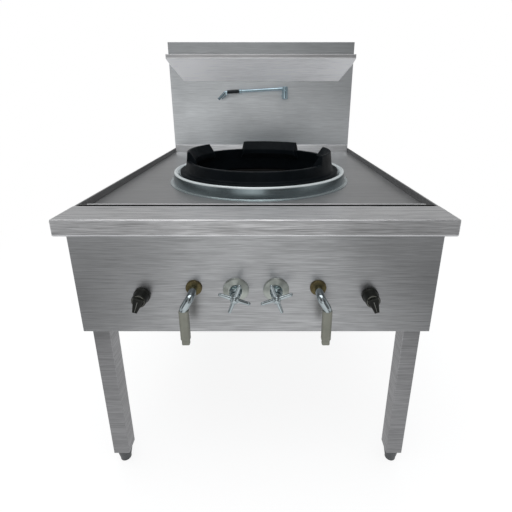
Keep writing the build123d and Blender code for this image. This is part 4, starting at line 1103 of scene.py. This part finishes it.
@dataclass
class Faucet(SubAssembly):
    """Rings on the faucet's body and ferrule, and the collar and mouth of its outlet."""

    across: float = 0.115
    depth: float = 0.50675
    body_rings: tuple[float, ...] = (WORKTOP_TOP + 0.2435, WORKTOP_TOP + 0.2795)
    body_radius: float = 0.0146
    body_bead: float = 0.0032
    arm_level: float = WORKTOP_TOP + 0.291
    droop: float = 12.0 / 208.0
    ferrule: tuple[float, ...] = (0.2085, 0.2165)
    ferrule_radius: float = 0.0103
    ferrule_bead: float = 0.0028
    outlet_start: float = 0.278
    outlet_reach: Pair = (0.044, 0.034)
    outlet_level: float = 0.011
    outlet_radius: float = 0.0066
    mouth: tuple[Pair, ...] = ((0.0, 0.0003), (0.0042, 0.0003), (0.0044, -0.0005), (0.0, -0.0005))

    def arm_frame(self, along: float) -> Matrix:
        """Frame of a ring on the arm, so far from its pivot."""
        place = Vector((self.across - along, self.depth, self.arm_level - self.droop * along))
        return pointing(place, Vector((-1, 0, -self.droop)))

    def outlet_frame(self, back: float) -> Matrix:
        """Frame of a ring on the outlet.

        Args:
            back: How far the ring is from the mouth.

        Returns:
            The frame.
        """
        bend = self.arm_frame(self.outlet_start + self.outlet_level).translation
        mouth = self.arm_frame(self.outlet_start).translation - Vector((self.outlet_reach[0], 0, self.outlet_reach[1]))
        along = (mouth - bend).normalized()
        return pointing(mouth - along * back, along)

    def build(self) -> list[Piece]:
        """Builds the rings and the mouth.

        Returns:
            The body's rings, the arm's rings and the mouth.
        """
        body = bmesh.new()
        for level in self.body_rings:
            add_bead(body, self.body_radius, self.body_bead, facing((self.across, self.depth, level), Turn.UPRIGHT))
        arm = bmesh.new()
        for along in self.ferrule:
            add_bead(arm, self.ferrule_radius, self.ferrule_bead, self.arm_frame(along))
        add_bead(arm, self.outlet_radius, 0.008, self.outlet_frame(0.0082), 0.0018)
        mouth = bmesh.new()
        turn_profile(mouth, self.mouth, self.outlet_frame(0.0), 32)
        return [
            self.add("faucet_body_rings", body, "range", "chrome", "faucet_chrome"),
            self.add("faucet_arm_rings", arm, "faucet_arm", "chrome", "faucet_chrome"),
            self.add("faucet_mouth", mouth, "faucet_arm", "grip_black"),
        ]


@dataclass
class Studio:
    """Floor, soft lights, pale surroundings and the camera."""

    floor_half: float = 9.0
    camera_place: Triple = (0.024, -1.32425, WORKTOP_TOP + 0.257)
    camera_pitch: float = 18.10
    focal_pixels: float = 359.9
    frame_pixels: float = 512.0
    centre_pixels: Pair = (266.1, 213.6)
    sensor: float = 36.0
    shadow_depth: float = 0.16
    shadow_reach: Pair = (1.0, 2.4)
    shadow_gain: float = 1.62
    bright_side: float = 0.22
    upper_bright_side: float = 0.04
    flank_reach: Pair = (0.21, 0.42)
    flank_levels: Pair = (0.75, 0.12)
    far_origin: float = 2.46
    elsewhere: float = 0.5
    ambient: Colour = (0.96, 0.98, 1.0)
    ambient_level: float = 0.55
    floor_tint: Colour = (0.8, 0.8, 0.8)

    def part_rays(self, wiring: Wiring, lighting: Socket, seen: Socket, output: str) -> None:
        """Shows the pale background to the rays that see it, and lights the object with another shader.

        Args:
            wiring: Wiring of the floor's material or the world.
            lighting: Shader for all other rays.
            seen: Shader for camera, glossy and transmission rays.
            output: Kind of the output node.
        """
        path = wiring.node("LightPath").outputs
        sees = wiring.sum("MAXIMUM", path["Is Camera Ray"], path["Is Glossy Ray"])
        sees = wiring.sum("MAXIMUM", sees, path["Is Transmission Ray"])
        mixed = wiring.line_up(wiring.node("MixShader"), (sees, lighting, seen))
        wiring.fill(wiring.node(output), Surface=mixed.outputs[0])

    def flank(self, wiring: Wiring, across: Socket, side: Any) -> Socket:
        """Level of the surroundings, which darken to the sides of one bright direction."""
        aside = wiring.sum("ABSOLUTE", wiring.sum("ADD", across, side))
        return wiring.spread(aside, *self.flank_reach, *self.flank_levels)

    def build_world(self) -> None:
        """Sets up the white surroundings and a softer ambient light."""
        world = bpy.data.worlds.new("studio_world")
        bpy.context.scene.world = world
        world.use_nodes = True
        wiring = Wiring(world.node_tree)
        world.node_tree.nodes.clear()
        parts = wiring.axes(wiring.where("Generated"))
        side = wiring.spread(parts["Z"], 0.04, 0.16, self.bright_side, self.upper_bright_side)
        flank = self.flank(wiring, parts["X"], side)
        flank = wiring.choose(wiring.spread(parts["Y"], -0.75, -0.3), flank, self.elsewhere)
        lift = wiring.spread(parts["Z"], 0.08, 0.35, 1.0, 0.4)
        glossy = wiring.node("LightPath").outputs["Is Glossy Ray"]
        level = wiring.choose(glossy, 1.0, wiring.sum("MULTIPLY", flank, lift))
        pale = wiring.fill(wiring.node("Background"), Color=WHITE, Strength=level)
        soft = wiring.fill(wiring.node("Background"), Color=self.ambient, Strength=self.ambient_level)
        self.part_rays(wiring, soft.outputs[0], pale.outputs[0], "OutputWorld")

    def floor_material(self) -> Material:
        """Builds the floor's material: white with the object's soft shadow.

        Returns:
            The material.
        """
        material = bpy.data.materials.new("pale_floor")
        material.use_nodes = True
        wiring = Wiring(material.node_tree)
        material.node_tree.nodes.clear()
        place = wiring.where()
        parts = wiring.axes(place)
        aside = wiring.sum("ABSOLUTE", parts["X"])
        away = wiring.vector("LENGTH", place)["Value"]
        near = wiring.spread(away, *self.shadow_reach, self.shadow_depth, 0.0)
        dip = wiring.spread(aside, 0.0, 0.2, 0.82, 1.0)
        near_flank = wiring.sum("MULTIPLY", wiring.spread(aside, 0.15, 1.05, 0.71, 0.17), dip)
        ahead = wiring.sum("DIVIDE", parts["X"], wiring.sum("SUBTRACT", self.far_origin, parts["Y"]))
        far_flank = self.flank(wiring, ahead, self.bright_side)
        flank = wiring.choose(wiring.spread(parts["Y"], -3.4, -2.2), far_flank, near_flank)
        beyond = wiring.sum("MAXIMUM", wiring.spread(parts["Y"], -1.1, -0.7), wiring.spread(aside, 1.3, 1.9))
        flank = wiring.choose(beyond, flank, self.elsewhere)
        glossy = wiring.node("LightPath").outputs["Is Glossy Ray"]
        level = wiring.choose(glossy, wiring.sum("SUBTRACT", 1.0, near), flank)
        glow = wiring.fill(wiring.node("Emission"), Color=WHITE, Strength=level)
        shade = wiring.choose(glossy, wiring.sum("MULTIPLY", near, self.shadow_gain), 0.0)
        shaded = wiring.fill(wiring.node("BsdfDiffuse"), Color=shade)
        both = wiring.line_up(wiring.node("AddShader"), (glow.outputs[0], shaded.outputs[0]))
        matt = wiring.fill(wiring.node("BsdfDiffuse"), Color=self.floor_tint)
        self.part_rays(wiring, matt.outputs[0], both.outputs[0], "OutputMaterial")
        return material

    def build_floor(self) -> None:
        """Builds the plain pale floor, which keeps the object's shadow."""
        corners = ((-1, -1), (1, -1), (1, 1), (-1, 1))
        mesh = bpy.data.meshes.new("studio_floor")
        mesh.from_pydata([(x * self.floor_half, y * self.floor_half, 0.0) for x, y in corners], [], [range(4)])
        mesh.materials.append(self.floor_material())
        put("studio_floor", mesh)

    def build_light(self, name: str, place: Triple, aim: Triple, size: Pair, radiance: float) -> Piece:
        """Adds a soft rectangular light.

        Args:
            name: Name of the light.
            place: Where it stands.
            aim: What it points at.
            size: Width and height.
            radiance: Brightness of its face.

        Returns:
            The light.
        """
        data = bpy.data.lights.new(name, "AREA")
        data.shape = "RECTANGLE"
        data.size, data.size_y = size
        data.energy = radiance * math.pi * size[0] * size[1]
        light = put(name, data)
        light.location = place
        light.rotation_euler = (Vector(aim) - Vector(place)).to_track_quat("-Z", "Y").to_euler()
        light.visible_camera = False
        return light

    def build_camera(self) -> None:
        """Sets up the camera at the photograph's viewing angle."""
        data = bpy.data.cameras.new("viewer")
        data.sensor_width = self.sensor
        data.lens = self.focal_pixels / self.frame_pixels * self.sensor
        middle = self.frame_pixels / 2
        data.shift_x = (middle - self.centre_pixels[0]) / self.frame_pixels
        data.shift_y = (self.centre_pixels[1] - middle) / self.frame_pixels
        data.clip_start = 0.01
        camera = put("viewer", data)
        camera.location = self.camera_place
        camera.rotation_euler = (math.radians(90 - self.camera_pitch), 0, 0)
        bpy.context.scene.camera = camera

    def build(self) -> None:
        """Builds the whole studio."""
        self.build_world()
        self.build_floor()
        self.build_light("overhead_softbox", (-0.3, -0.4, 3.1), (0, -0.05, 0.7), (2.8, 2.2), 1.55)
        front = self.build_light("front_softbox", (-0.6, -3.6, 1.7), (0, 0, 0.75), (2.6, 1.8), 0.9)
        front.visible_glossy = False
        self.build_camera()


def main() -> None:
    """Loads the frame, dresses its nodes, builds every sub-assembly and the studio."""
    logging.basicConfig(level=logging.INFO, format="%(name)s: %(message)s")
    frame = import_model()
    palette = Palette()
    slots = {part["node"]: part["material_slot"] for part in frame["record"]["subparts"]}
    for node, slot in slots.items():
        dress([node], frame, palette[slot])
    LOG.info("dressed %d nodes", len(slots))
    kinds: list[type[SubAssembly]] = [SheetWork, Fastenings, Knobs, Taps, Levers, Inlets, Faucet]
    for kind in kinds:
        for piece in kind(frame, palette).build():
            LOG.info("%s: %s", kind.__name__, piece.name)
    Studio().build()
    bpy.context.scene.view_settings.view_transform = "Standard"


if __name__ == "__main__":
    main()
